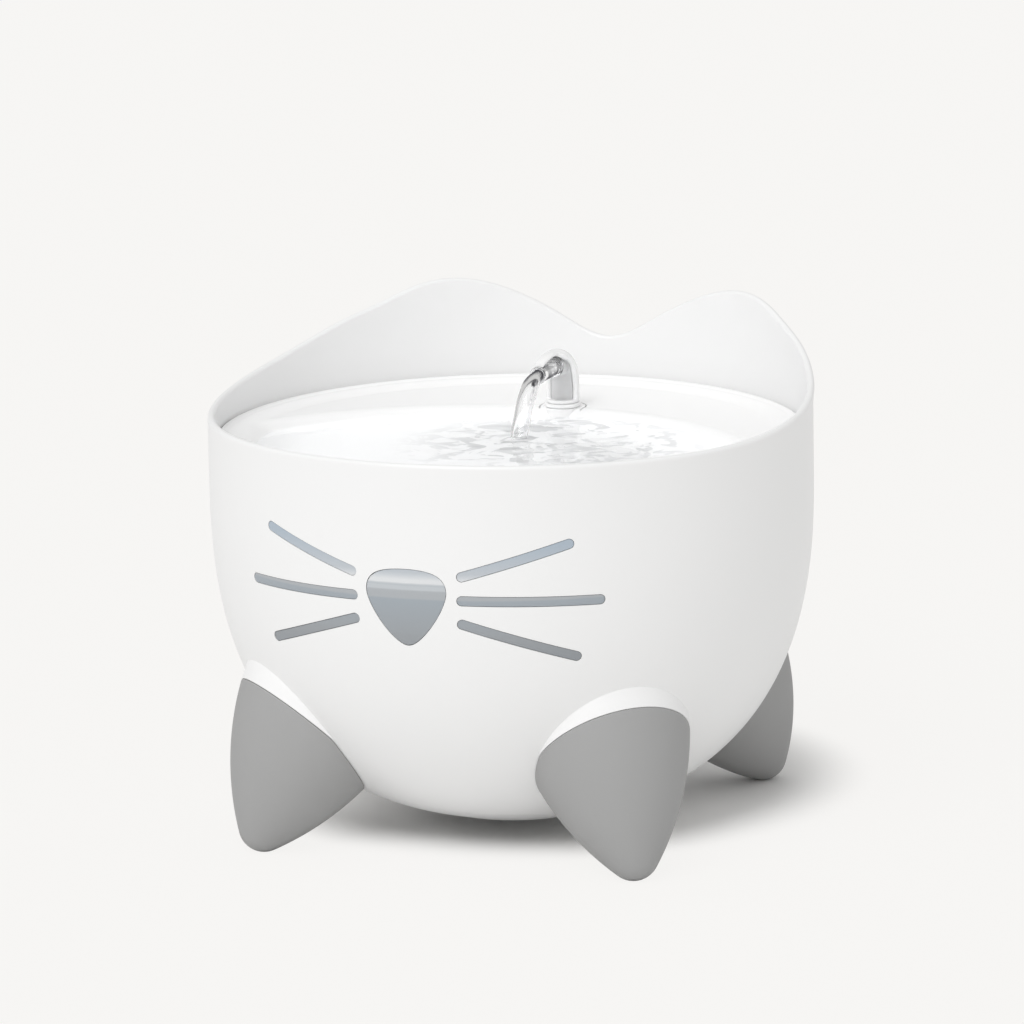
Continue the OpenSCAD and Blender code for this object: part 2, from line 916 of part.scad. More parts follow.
module pump_cover() {
    slots = 5;
    color(dark)
        difference() {
            union() {
                translate([0, cover_y + fit, axis_z + front_z / 2])
                    pump_block(pump_w, pump_h - front_z, cover_l - fit, 5);
                // pins that hold the foam
                for (x = [-1, 1])
                    translate([x * (pump_w / 2 - 5), cover_y + cover_l - eps, axis_z + front_z / 2])
                        rotate([-90, 0, 0])
                            cylinder(r = 1.5, h = 6);
            }
            // hollow behind the grille
            on_axis(cover_y - 1)
                cylinder(r = chamber_r, h = cover_l - 1);
            // intake slots
            for (i = [0 : slots - 1])
                on_axis(cover_y)
                    rotate(360 / slots * i)
                        translate([3.6, -1.2, 0])
                            cube([chamber_r - 5, 2.4, 20]);
            on_axis(cover_y - 1)
                cylinder(r = shaft_r + run, h = cover_l - 0.5);
            // pivot hole of the flow dial
            on_axis(cover_y + cover_l - 1.9)
                cylinder(r = 1.5, h = 4);
        }
    // socket of the front bush, on three arms
    color(dark)
        difference() {
            union() {
                on_axis(cover_y + 1)
                    cylinder(r = shaft_r + 3, h = cover_l - 3);
                for (i = [0 : 2])
                    on_axis(cover_y + 1)
                        rotate(120 * i + 36)
                            translate([shaft_r + 2, -0.8, 0])
                                cube([chamber_r - shaft_r - 1.5, 1.6, 2]);
            }
            on_axis(cover_y)
                cylinder(r = shaft_r + 1.5 + fit, h = bush_l + 1);
        }
}

module shaft_bush_front() {
    color(clear)
        on_axis(cover_y + 1)
            difference() {
                cylinder(r = shaft_r + 1.5, h = bush_l - 2 * fit);
                translate([0, 0, -1])
                    cylinder(r = shaft_r + run, h = 10);
            }
}

dial_r = 9;
module flow_dial() {
    slots = 5;
    color(grey)
        difference() {
            union() {
                on_axis(cover_y + cover_l + seat)
                    cylinder(r = dial_r, h = 1.6);
                on_axis(cover_y + cover_l - 1.6)
                    cylinder(r = 1.5 - run, h = 2.4);
                // finger tab
                on_axis(cover_y + cover_l + seat)
                    translate([dial_r - 1, -1.5, 0])
                        cube([3.5, 3, 1.6]);
            }
            for (i = [0 : slots - 1])
                on_axis(cover_y)
                    rotate(360 / slots * i)
                        translate([3.6, -1.2, 0])
                            cube([dial_r - 5, 2.4, 20]);
        }
}

module foam_prefilter() {
    foam_l = 7;
    gap = 2.2;
    color(dark)
        difference() {
            translate([0, cover_y + cover_l + gap, axis_z + front_z / 2])
                pump_block(pump_w - 2, pump_h - front_z - 2, foam_l, 4);
            for (x = [-1, 1])
                translate([x * (pump_w / 2 - 5), cover_y + cover_l, axis_z + front_z / 2])
                    rotate([-90, 0, 0])
                        cylinder(r = 1.5 + fit, h = 6 + 2 * fit);
        }
}

// ---- riser tube ---------------------------------------------------------
tube_bend = 16;
tube_low = pump_z + pump_h + 1.5;
tube_turn = outlet_top + 14;
tube_high = boss_z - 6;

// One bend of the tube, round the point at y and z: towards +Y and up, or mirrored as asked
module tube_elbow(y, z, flip, r) {
    translate([0, y, z])
        mirror(flip)
            rotate([90, 0, 90])
                rotate_extrude(angle = 90)
                    translate([tube_bend, 0])
                        circle(r = r);
}

// A round bar of radius r along the tube, drawn "past" both of its ends
module tube_run(r, past) {
    translate([0, pump_y, tube_low - past])
        cylinder(r = r, h = tube_turn - tube_low + past);
    tube_elbow(pump_y + tube_bend, tube_turn, [0, 1, 0], r);
    translate([0, pump_y + tube_bend, tube_turn + tube_bend])
        rotate([-90, 0, 0])
            cylinder(r = r, h = spout_y - pump_y - 2 * tube_bend);
    tube_elbow(spout_y - tube_bend, tube_turn + 2 * tube_bend, [0, 0, 1], r);
    translate([0, spout_y, tube_turn + 2 * tube_bend])
        cylinder(r = r, h = tube_high - tube_turn - 2 * tube_bend + past);
}

module riser_tube() {
    color(clear)
        difference() {
            tube_run(tube_r, 0);
            tube_run(tube_r - tube_t, 1);
        }
}

bowl();
level_window();
window_seal();
cable_grommet();
foot_boot_front_left();
foot_boot_front_right();
foot_boot_rear_left();
foot_boot_rear_right();
tray();
spout_stem();
stem_o_ring();
spout_shell();
spout_insert();
spout_nozzle();
filter_frame();
filter_pad();
filter_media();
filter_base();
pump_body();
pump_end_cap();
pump_cover();
impeller();
rotor_magnet();
rotor_shaft();
shaft_bush_rear();
shaft_bush_front();
flow_dial();
foam_prefilter();
suction_cups();
riser_tube();
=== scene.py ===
"""Looks of the cat drinking fountain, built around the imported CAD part."""
import json
import math

import bpy
import numpy as np
from mathutils import Matrix, Vector


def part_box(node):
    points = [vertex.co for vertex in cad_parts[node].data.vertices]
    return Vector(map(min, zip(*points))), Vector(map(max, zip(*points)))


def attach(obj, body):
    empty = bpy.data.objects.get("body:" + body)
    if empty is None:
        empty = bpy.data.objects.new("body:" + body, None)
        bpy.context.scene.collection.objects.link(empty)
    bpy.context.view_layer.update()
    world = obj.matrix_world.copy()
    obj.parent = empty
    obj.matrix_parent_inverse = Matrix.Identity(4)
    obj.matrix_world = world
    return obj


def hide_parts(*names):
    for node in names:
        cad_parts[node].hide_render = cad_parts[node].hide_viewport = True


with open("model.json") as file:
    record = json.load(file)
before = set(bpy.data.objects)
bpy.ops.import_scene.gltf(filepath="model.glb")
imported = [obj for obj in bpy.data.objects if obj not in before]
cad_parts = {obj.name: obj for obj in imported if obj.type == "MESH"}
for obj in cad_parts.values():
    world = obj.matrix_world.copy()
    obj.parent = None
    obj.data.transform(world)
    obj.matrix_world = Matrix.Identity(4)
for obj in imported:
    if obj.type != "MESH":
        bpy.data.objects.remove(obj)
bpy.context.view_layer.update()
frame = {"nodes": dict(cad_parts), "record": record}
scene = bpy.context.scene

# ---- sizes, in millimetres --------------------------------------------------
MM = 0.001

# bowl
BOWL_R = 118.0
WALL = 3.0
BOWL_LIFT = 4.7
SHOULDER_Z = 137.0
BOWL_POWER = 2.5
FRONT_RIM_Z = 164.5
RIM_LEAN = 0.08
# flat disc in the bottom under the pump, and the hole for the pump's lead
PAD_R = 34.0
LEAD_HOLE_R = 6.0
# height of the rim at angles from the front, the same on both sides
RIM_ANGLES = [0, 25, 50, 75, 90, 100, 110, 118, 126, 134, 142, 150, 160, 170, 180]
RIM_HEIGHTS = [164.7, 164.4, 163.9, 164.4, 166.6, 169.1, 172.8, 177.2, 182.2, 187.1, 192.8, 194.4,
               189.4, 179.3, 170.8]

# face
FACE_Z = 112.9
NOSE_W = 32.2
NOSE_H = 30.2
# the nose's tip lies this far below the face's middle
NOSE_DROP = 18.5
WHISKER_W = 4.0
WHISKER_START = 10.8
# height of the start and of the end of each whisker from the face's middle, and its end angle
WHISKERS = [(9.3, 21.3, 30.5), (0.0, -0.9, 36.2), (-9.2, -22.7, 31.6)]

# feet
FOOT_ANGLE = 43.7
FOOT_RHO = BOWL_R - 8.5
FOOT_TILT = 30.5
FOOT_TIP_R = 10.0
FOOT_FLANK_R = 115.0
FOOT_OPEN = 40.2
FOOT_FLAT = 0.5
FOOT_LEN = 78.0
BOOT_T = 2.6
BOOT_Z = 64.1
BOOT_SLOPE = 43.8
# a boot's edge stays this far below the hip's edge and this far off the bowl
BOOT_DROP = 0.15
BOOT_SKIN = 0.12
# shares of the way up a foot (about 100 mm): a boot's rounded edge, and the start of a leg's core
BOOT_ROUND = 0.7 / 95.0
CORE_START = 0.12

# tray
TRAY_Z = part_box("tray")[1].z / MM
TRAY_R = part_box("tray")[1].x / MM
TRAY_T = 3.0
FLANGE_T = 3.5
POOL_LIP_R = TRAY_R - 2.6
POOL_DEPTH = 13.9
POOL_Z = TRAY_Z - POOL_DEPTH
POOL_FLOOR_R = 84.0
SHELF_DROP = 1.9
POOL_BACK_R = 112.0
POOL_BACK_Y = 51.5

# water
WATER_IOR = 1.33
WATER_Z = 149.4
# the water's underside lies this far inside the tray
SOAK = 0.3
# where the stream lands, and the middle of the stirred water
LANDING = (0.0, 9.5)
STIRRED = (18.0, 2.0)
# painted dark patches in the water's reflection show in full up to the first radius round that middle, and
# none past the second
DARK_REFLECTION_FULL = 30.0
DARK_REFLECTION_END = 70.0
# end of the falling water's middle line
STREAM_END_Y = 10.5

# spout
SPOUT_Y = 60.4
BOSS_R = 8.9
COLUMN_R = 6.9
GROOVE_W = 0.7
# angles between which the groove runs, from +X round the rear
GROOVE_ARC = (-22, 202)
BOSS_Z = TRAY_Z - SHELF_DROP - 0.5
ARCH_R = 6.7
ARCH_WALL = 2.2
ARCH_BEND = 7.5
HEAD_Z = BOSS_Z + 1.9
OUTLET_Z = TRAY_Z - SHELF_DROP + 17.1
OUTLET_REACH = 28.5
HOOD_REACH = 11.3
BEAK_LEN = 19.5
BEAK_DROP = 2.2
COLLAR_H = 1.2
OPEN_Y = 1.5
OPEN_BOW = 3.5
PIPE_R = 3.6
NOZZLE_R = 3.2
BORE_R = 2.4

# filter
FILTER_Y = 62.0
WELL_W = 58.0
WELL_D = 26.0
WELL_DEEP = 14.5
WELL_FLOOR = POOL_Z - WELL_DEEP

# ground: its shadow shows in full up to the first radius round the middle, and hardly past the second
SHADOW_MIDDLE = (-9.6, 59.5)
SHADOW_FULL = 95.0
SHADOW_END = 134.0
FLOOR_HALF = 30000.0
FLOOR_COLOUR = (0.94, 0.935, 0.925)
BACKDROP_COLOUR = (0.930, 0.921, 0.905)

# light
SKY_STRENGTH = 0.60
SUN_STRENGTH = 1.40
SUN_SPREAD = 40.0
SUN_TILT = 40.0
SUN_TURN = -8.0


# ---- camera -----------------------------------------------------------------
def make_camera():
    """Long lens, from the front and the +X side, a little above."""
    camera = bpy.data.cameras.new("camera")
    camera.sensor_width = 36.0
    camera.lens = 227.07
    obj = bpy.data.objects.new("camera", camera)
    scene.collection.objects.link(obj)
    right = Vector((0.9390824, 0.34319747, -0.01843214))
    up = Vector((-0.05539419, 0.2040664, 0.97738856))
    back = Vector((0.33919866, -0.91682736, 0.21064631))
    turn = Matrix((right, up, back)).transposed().to_4x4()
    obj.matrix_world = Matrix.Translation((0.856894, -2.316448, 0.653994)) @ turn
    scene.camera = obj


# ---- mesh helpers -----------------------------------------------------------
def new_object(name, verts, faces, sharp=35.0):
    """A smooth-shaded mesh from points in millimetres; edges sharper than "sharp" degrees stay crisp."""
    mesh = bpy.data.meshes.new(name)
    mesh.from_pydata((np.asarray(verts, float) * MM).tolist(), [], [list(f) for f in faces])
    mesh.validate()
    mesh.shade_smooth()
    mesh.set_sharp_from_angle(angle=math.radians(sharp))
    obj = bpy.data.objects.new(name, mesh)
    scene.collection.objects.link(obj)
    return obj


def grid_faces(rows, cols, wrap_rows=False):
    """Quads between rings of points, where point (row, col) is row * cols + col."""
    faces = []
    for i in range(rows if wrap_rows else rows - 1):
        low, high = i * cols, (i + 1) % rows * cols
        for j in range(cols):
            k = (j + 1) % cols
            faces.append((low + j, low + k, high + k, high + j))
    return faces


def bar_faces(rows, cols, flip=False):
    """Faces of a bar through rings of points, with a flat face at each end."""
    faces = grid_faces(rows, cols)
    faces.append(tuple(range(cols - 1, -1, -1)))
    faces.append(tuple(range((rows - 1) * cols, rows * cols)))
    return [f[::-1] for f in faces] if flip else faces


def rings(turn, places):
    """Rings of points round the vertical axis, one for each (radius, height)."""
    c, s = np.cos(turn), np.sin(turn)
    return [np.stack([r * c, r * s, z + 0 * turn], axis=1) for r, z in places]


def closed_rings(rows, start, end, flip=False):
    """Points and faces of a solid through rings, with a middle point at its start and its end."""
    cols = len(rows[0])
    verts = np.concatenate(rows + [[start, end]])
    faces = grid_faces(len(rows), cols)
    middle = len(rows) * cols
    last = middle - cols
    for j in range(cols):
        k = (j + 1) % cols
        faces.append((middle, k, j))
        faces.append((middle + 1, last + j, last + k))
    if flip:
        faces = [f[::-1] for f in faces]
    return verts, faces


def revolved(name, profile, steps=96, middle_y=0.0):
    """Solid of revolution from (radius, height) points round a vertical axis at y = middle_y."""
    turn = np.linspace(0, 2 * np.pi, steps, endpoint=False)
    verts, rings = [], []
    for r, z in profile:
        if r < 1e-6:
            rings.append([len(verts)])
            verts.append((0.0, middle_y, z))
        else:
            rings.append(list(range(len(verts), len(verts) + steps)))
            verts += [(r * math.cos(t), middle_y + r * math.sin(t), z) for t in turn]
    faces = []
    for a, b in zip(rings, rings[1:] + rings[:1]):
        if len(a) == 1 and len(b) == 1:
            continue
        for j in range(steps):
            k = (j + 1) % steps
            if len(a) == 1:
                faces.append((a[0], b[k], b[j]))
            elif len(b) == 1:
                faces.append((a[j], a[k], b[0]))
            else:
                faces.append((a[j], a[k], b[k], b[j]))
    return new_object(name, verts, faces)


def prism(name, outline, low, high, place):
    """Straight prism of a 2D outline between two depths; place(x, y, depth) gives the 3D point."""
    n = len(outline)
    verts = [place(x, y, d) for d in (low, high) for x, y in outline]
    faces = [(i, (i + 1) % n, n + (i + 1) % n, n + i) for i in range(n)]
    faces += [tuple(range(n - 1, -1, -1)), tuple(range(n, 2 * n))]
    return new_object(name, verts, faces)


def combine(obj, others, operation, sharp=35.0):
    """Joins or cuts obj with other closed meshes, which are used up."""
    for other in others:
        modifier = obj.modifiers.new("combine", "BOOLEAN")
        modifier.operation = operation
        modifier.solver = "EXACT"
        modifier.object = other
    bpy.context.view_layer.update()
    graph = bpy.context.evaluated_depsgraph_get()
    mesh = bpy.data.meshes.new_from_object(obj.evaluated_get(graph))
    obj.modifiers.clear()
    obj.data = mesh
    mesh.name = obj.name
    mesh.shade_smooth()
    mesh.set_sharp_from_angle(angle=math.radians(sharp))
    for other in others:
        bpy.data.objects.remove(other)
    return obj


def dress(obj, body, slot, material, *nodes):
    """Puts a finished piece on its body, with its material, in place of the named CAD nodes."""
    obj.data.materials.clear()
    obj.data.materials.append(material)
    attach(obj, body)
    if nodes:
        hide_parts(*nodes)
    return obj


def cubic(xs, ys, x):
    """Smooth curve through the points, level at both ends."""
    xs, ys = np.asarray(xs, float), np.asarray(ys, float)
    n = len(xs)
    h = np.diff(xs)
    a = np.zeros((n, n))
    b = np.zeros(n)
    a[0, 0], a[0, 1] = 2 * h[0], h[0]
    b[0] = 6 * (ys[1] - ys[0]) / h[0]
    a[-1, -1], a[-1, -2] = 2 * h[-1], h[-1]
    b[-1] = -6 * (ys[-1] - ys[-2]) / h[-1]
    for i in range(1, n - 1):
        a[i, i - 1], a[i, i], a[i, i + 1] = h[i - 1], 2 * (h[i - 1] + h[i]), h[i]
        b[i] = 6 * ((ys[i + 1] - ys[i]) / h[i] - (ys[i] - ys[i - 1]) / h[i - 1])
    m = np.linalg.solve(a, b)
    i = np.clip(np.searchsorted(xs, x) - 1, 0, n - 2)
    t0, t1 = x - xs[i], xs[i + 1] - x
    return (m[i] * t1 ** 3 + m[i + 1] * t0 ** 3) / (6 * h[i]) \
        + (ys[i] / h[i] - m[i] * h[i] / 6) * t1 + (ys[i + 1] / h[i] - m[i + 1] * h[i] / 6) * t0


def smooth(t):
    """Soft step from 0 to 1."""
    t = np.clip(t, 0, 1)
    return t * t * (3 - 2 * t)


def soft_min(a, b, k):
    """Lesser of two values with a fillet of about k between them."""
    h = np.clip(0.5 + 0.5 * (b - a) / k, 0, 1)
    return b * (1 - h) + a * h - k * h * (1 - h)


def soft_max(a, b, k):
    return -soft_min(-a, -b, k)


# ---- materials --------------------------------------------------------------
def node_material(name):
    """New material, its node tree and its main shader."""
    material = bpy.data.materials.new(name)
    material.use_nodes = True
    tree = material.node_tree
    return material, tree, tree.nodes["Principled BSDF"]


def object_place(tree):
    """Place of each point in the object's own frame, in metres."""
    return tree.nodes.new("ShaderNodeTexCoord").outputs["Object"]


def object_height(tree):
    """Height of each point in the object's own frame, in metres."""
    split = tree.nodes.new("ShaderNodeSeparateXYZ")
    tree.links.new(object_place(tree), split.inputs["Vector"])
    return split.outputs["Z"]


def distance_from(tree, point):
    """Distance in metres from a point given in millimetres."""
    node = tree.nodes.new("ShaderNodeVectorMath")
    node.operation = "DISTANCE"
    node.inputs[1].default_value = [p * MM for p in point]
    tree.links.new(object_place(tree), node.inputs[0])
    return node.outputs["Value"]


def noise(tree, scale, detail=2.0, distortion=0.0):
    """Cloudy pattern from 0 to 1."""
    node = tree.nodes.new("ShaderNodeTexNoise")
    node.inputs["Scale"].default_value = scale
    node.inputs["Detail"].default_value = detail
    node.inputs["Distortion"].default_value = distortion
    tree.links.new(object_place(tree), node.inputs["Vector"])
    return node.outputs["Fac"]


def remap(tree, value, low, high, to_low=0.0, to_high=1.0, ease="LINEAR"):
    """Carries a value from low..high to to_low..to_high and holds it past both ends."""
    node = tree.nodes.new("ShaderNodeMapRange")
    node.interpolation_type = ease
    node.inputs["From Min"].default_value = low
    node.inputs["From Max"].default_value = high
    node.inputs["To Min"].default_value = to_low
    node.inputs["To Max"].default_value = to_high
    tree.links.new(value, node.inputs["Value"])
    return node.outputs["Result"]


def calculate(tree, operation, a, b):
    """Result of one operation on two values."""
    node = tree.nodes.new("ShaderNodeMath")
    node.operation = operation
    tree.links.new(a, node.inputs[0])
    tree.links.new(b, node.inputs[1])
    return node.outputs["Value"]


def mix_colours(tree, share, first, second):
    """Colour that goes from the first to the second as share goes from 0 to 1."""
    node = tree.nodes.new("ShaderNodeMix")
    node.data_type = "RGBA"
    node.inputs["A"].default_value = (*first, 1)
    node.inputs["B"].default_value = (*second, 1)
    tree.links.new(share, node.inputs["Factor"])
    return node.outputs["Result"]


def mix_shaders(tree, share, first, second):
    """Shader that goes from the first to the second as share goes from 0 to 1."""
    node = tree.nodes.new("ShaderNodeMixShader")
    tree.links.new(share, node.inputs["Fac"])
    tree.links.new(first, node.inputs[1])
    tree.links.new(second, node.inputs[2])
    return node.outputs["Shader"]


def show(tree, look):
    """Makes a shader the material's surface."""
    tree.links.new(look, tree.nodes["Material Output"].inputs["Surface"])


def let_light_through(tree, look, tint):
    """Shows a shader, but lets light pass on its way to what lies behind."""
    path = tree.nodes.new("ShaderNodeLightPath")
    through = tree.nodes.new("ShaderNodeBsdfTransparent")
    through.inputs["Color"].default_value = (*tint, 1)
    show(tree, mix_shaders(tree, path.outputs["Is Shadow Ray"], look, through.outputs["BSDF"]))


def moulded(name, colour, roughness, mottle=0.02, grain=0.02, grain_size=0.0006, specular=0.5):
    """Moulded plastic or rubber: a faint mottle in colour and gloss, and a fine grain in its bump."""
    material, tree, shader = node_material(name)
    cloud = noise(tree, 22.0, 3.0)
    dark = [c * (1 - mottle) for c in colour]
    pale = [min(1.0, c * (1 + mottle)) for c in colour]
    tree.links.new(mix_colours(tree, cloud, dark, pale), shader.inputs["Base Color"])
    gloss = remap(tree, cloud, 0.0, 1.0, roughness * 0.9, roughness * 1.1)
    tree.links.new(gloss, shader.inputs["Roughness"])
    bump = tree.nodes.new("ShaderNodeBump")
    bump.inputs["Strength"].default_value = grain
    bump.inputs["Distance"].default_value = grain_size * 0.5
    tree.links.new(noise(tree, 1.0 / grain_size), bump.inputs["Height"])
    tree.links.new(bump.outputs["Normal"], shader.inputs["Normal"])
    shader.inputs["Specular IOR Level"].default_value = specular
    return material


def clear(name, colour, roughness, ior=1.49):
    """Clear plastic or rubber: refracts, and lets most light through to what lies behind it."""
    material, tree, shader = node_material(name)
    cloudy = [c * 0.97 for c in colour]
    tint = mix_colours(tree, noise(tree, 30.0), colour, cloudy)
    tree.links.new(tint, shader.inputs["Base Color"])
    shader.inputs["Roughness"].default_value = roughness
    shader.inputs["IOR"].default_value = ior
    shader.inputs["Transmission Weight"].default_value = 1.0
    # its shadow has a quarter of its tint
    let_light_through(tree, shader.outputs["BSDF"], [1 - (1 - c) * 0.25 for c in colour])
    return material


def make_materials():
    return {
        "bowl": moulded("satin_white", (0.90, 0.90, 0.90), 0.34, mottle=0.006, grain=0.03),
        "tray": moulded("gloss_white", (0.965, 0.965, 0.965), 0.16, mottle=0.004, grain=0.01),
        "spout": moulded("spout_white", (0.975, 0.975, 0.975), 0.2, mottle=0.004, grain=0.01),
        "boot": moulded("grey_rubber", (0.37, 0.37, 0.37), 0.62, mottle=0.03, grain=0.12,
                        grain_size=0.0004, specular=0.35),
        "seal": moulded("seal_rubber", (0.26, 0.27, 0.28), 0.5, grain=0.06),
        "window": level_window("window_smoke"),
        "clear": clear("clear_plastic", (0.93, 0.95, 0.96), 0.03),
        "insert": moulded("insert_grey", (0.72, 0.72, 0.725), 0.35, mottle=0.03),
        "tubing": clear("silicone", (0.90, 0.92, 0.93), 0.3, ior=1.41),
        "frame": moulded("filter_plastic", (0.78, 0.79, 0.80), 0.35),
        "pad": moulded("fibre_pad", (0.88, 0.88, 0.86), 0.9, mottle=0.06, grain=0.9, grain_size=0.0008),
        "media": moulded("carbon_grains", (0.05, 0.05, 0.055), 0.6, mottle=0.4, grain=1.0,
                         grain_size=0.0015),
        "pump": moulded("pump_black", (0.03, 0.03, 0.033), 0.42, mottle=0.05, grain=0.1),
        "dial": moulded("dial_grey", (0.12, 0.12, 0.125), 0.4, grain=0.08),
        "impeller": moulded("impeller_white", (0.80, 0.80, 0.80), 0.3),
        "magnet": moulded("ferrite", (0.045, 0.045, 0.05), 0.45, mottle=0.15, grain=0.2),
        "steel": steel("ground_steel"),
        "foam": moulded("open_foam", (0.028, 0.03, 0.036), 0.95, mottle=0.3, grain=1.0,
                        grain_size=0.0012),
        "water": pool_water("water"),
        "stream": edged_clear("stream", WATER_IOR, (0.62, 0.86), (0.10, 0.10, 0.11), painted_mouth_line=True),
        "nozzle": edged_clear("nozzle_clear", 1.45, (0.45, 0.75), (0.16, 0.16, 0.17)),
    }


# tones of the window: water, a lighter, warmer layer above it, painted highlight bands at the water line,
# and air
WATER_TONE = (0.40, 0.444, 0.486)
WARM_TONE = (0.474, 0.498, 0.523)
HIGHLIGHT_BAND_TONE = (0.596, 0.629, 0.659)
LINE_TONE = (0.542, 0.582, 0.616)
HIGHLIGHT_TONE = (0.82, 0.837, 0.854)
AIR_TONE = (0.585, 0.625, 0.668)
# heights in millimetres at which the tones lie, with soft steps between them; darker towards the bottom and
# the top
WINDOW_TONES = [(86, (0.304, 0.327, 0.353)), (98, (0.367, 0.388, 0.41)), (112.9, WATER_TONE),
                (113.5, WARM_TONE), (116.3, WARM_TONE), (116.9, HIGHLIGHT_BAND_TONE), (118.1, HIGHLIGHT_BAND_TONE),
                (118.5, LINE_TONE), (118.9, HIGHLIGHT_BAND_TONE), (119.5, HIGHLIGHT_TONE), (120.6, HIGHLIGHT_TONE),
                (122.3, (0.66, 0.695, 0.733)), (123.4, AIR_TONE), (134, (0.47, 0.548, 0.63))]


def level_window(name):
    """Smoked clear window; the water behind it shows as a darker tone below the water line, with
    painted highlight bands round the line.
    """
    material, tree, shader = node_material(name)
    wavy = tree.nodes.new("ShaderNodeMath")
    wavy.operation = "MULTIPLY_ADD"
    wavy.inputs[1].default_value = 0.0005
    tree.links.new(noise(tree, 60.0), wavy.inputs[0])
    tree.links.new(object_height(tree), wavy.inputs[2])
    low, high = WINDOW_TONES[0][0], WINDOW_TONES[-1][0]
    share = remap(tree, wavy.outputs["Value"], low * MM, high * MM)
    # the ramp paints highlight bands round the water line, and darkens towards the bottom and the top
    ramp = tree.nodes.new("ShaderNodeValToRGB")
    tones = ramp.color_ramp.elements
    tones[0].color = (*WINDOW_TONES[0][1], 1)
    tones[1].color = (*WINDOW_TONES[-1][1], 1)
    for height, tone in WINDOW_TONES[1:-1]:
        tones.new((height - low) / (high - low)).color = (*tone, 1)
    tree.links.new(share, ramp.inputs["Fac"])
    tree.links.new(ramp.outputs["Color"], shader.inputs["Base Color"])
    shader.inputs["Roughness"].default_value = 0.12
    shader.inputs["Transmission Weight"].default_value = 0.12
    return material


def edged_clear(name, ior, edge_range, painted_line_colour, painted_mouth_line=False):
    """Clear water or plastic with painted shade: dark, broken lines at its bent edges; painted_mouth_line
    adds a strong painted dark line where the water leaves the nozzle."""
    material, tree, shader = node_material(name)
    shader.inputs["Base Color"].default_value = (0.985, 0.985, 0.99, 1)
    shader.inputs["Roughness"].default_value = 0.0
    shader.inputs["IOR"].default_value = ior
    shader.inputs["Transmission Weight"].default_value = 1.0
    # painted dark lines where the surface turns away from the camera, standing in for the dark seen through
    # bent edges
    facing = tree.nodes.new("ShaderNodeLayerWeight").outputs["Facing"]
    breaks = remap(tree, noise(tree, 170.0, 1.0), 0.36, 0.62)
    amount = calculate(tree, "MULTIPLY", remap(tree, facing, *edge_range), breaks)
    if painted_mouth_line:
        near = remap(tree, object_height(tree), (OUTLET_Z - 2.2) * MM, (OUTLET_Z - 0.6) * MM)
        strong = calculate(tree, "MULTIPLY", near, remap(tree, facing, 0.42, 0.6))
        amount = calculate(tree, "MAXIMUM", amount, strong)
    line = tree.nodes.new("ShaderNodeBsdfDiffuse")
    line.inputs["Color"].default_value = (*painted_line_colour, 1)
    look = mix_shaders(tree, amount, shader.outputs["BSDF"], line.outputs["BSDF"])
    let_light_through(tree, look, (0.96, 0.96, 0.97))
    return material


def pool_water(name):
    """Clear water with painted dark patches in its reflection where the stream stirs it."""
    material, tree, shader = node_material(name)
    tree.nodes.remove(shader)
    bend = tree.nodes.new("ShaderNodeBsdfRefraction")
    bend.inputs["Color"].default_value = (0.985, 0.99, 0.995, 1)
    bend.inputs["Roughness"].default_value = 0.0
    bend.inputs["IOR"].default_value = WATER_IOR
    # painted dark reflection: the mirror's colour turns grey in patches round the stirred water
    away = distance_from(tree, (*STIRRED, WATER_Z))
    stirred = remap(tree, away, DARK_REFLECTION_FULL * MM, DARK_REFLECTION_END * MM, 1.0, 0.0, "SMOOTHSTEP")
    painted_patches = remap(tree, noise(tree, 75.0, distortion=1.6), 0.50, 0.58)
    share = calculate(tree, "MULTIPLY", stirred, painted_patches)
    tone = mix_colours(tree, share, (1.0, 1.0, 1.0), (0.12, 0.125, 0.13))
    mirror = tree.nodes.new("ShaderNodeBsdfAnisotropic")
    mirror.inputs["Roughness"].default_value = 0.0
    tree.links.new(tone, mirror.inputs["Color"])
    glance = tree.nodes.new("ShaderNodeFresnel")
    glance.inputs["IOR"].default_value = WATER_IOR
    look = mix_shaders(tree, glance.outputs["Fac"], bend.outputs["BSDF"], mirror.outputs["BSDF"])
    let_light_through(tree, look, (1.0, 1.0, 1.0))
    return material


def steel(name):
    """Ground steel with a finely varied gloss."""
    material, tree, shader = node_material(name)
    tree.links.new(remap(tree, noise(tree, 900.0), 0.0, 1.0, 0.16, 0.3), shader.inputs["Roughness"])
    shader.inputs["Base Color"].default_value = (0.62, 0.63, 0.65, 1)
    shader.inputs["Metallic"].default_value = 1.0
    return material


# ---- bowl -------------------------------------------------------------------
def rim_height(theta):
    """Height of the rim at angles (degrees) from the front."""
    return cubic(RIM_ANGLES, RIM_HEIGHTS, np.abs((np.asarray(theta) + 180) % 360 - 180))


def bowl_curve(share, inset):
    """(radius, height) below the shoulder; share runs from 0 at the bottom to 1 at the shoulder."""
    a = np.pi / 2 * np.asarray(share)
    r = (BOWL_R - inset) * np.sin(a) ** (2 / BOWL_POWER)
    z = SHOULDER_Z - (SHOULDER_Z - BOWL_LIFT - inset) * np.cos(a) ** (2 / BOWL_POWER)
    return r, z


def rim_radius(z):
    """Outer radius of the wall above the shoulder, which leans out above the front's rim."""
    return BOWL_R + RIM_LEAN * np.maximum(0, z - FRONT_RIM_Z)


def bowl_radius(z, inset=0.0):
    """Radius of the bowl's surface at heights z."""
    t = np.clip((SHOULDER_Z - z) / (SHOULDER_Z - BOWL_LIFT - inset), 0, 1)
    low = (BOWL_R - inset) * (1 - t ** BOWL_POWER) ** (1 / BOWL_POWER)
    return low + RIM_LEAN * np.maximum(0, z - FRONT_RIM_Z)


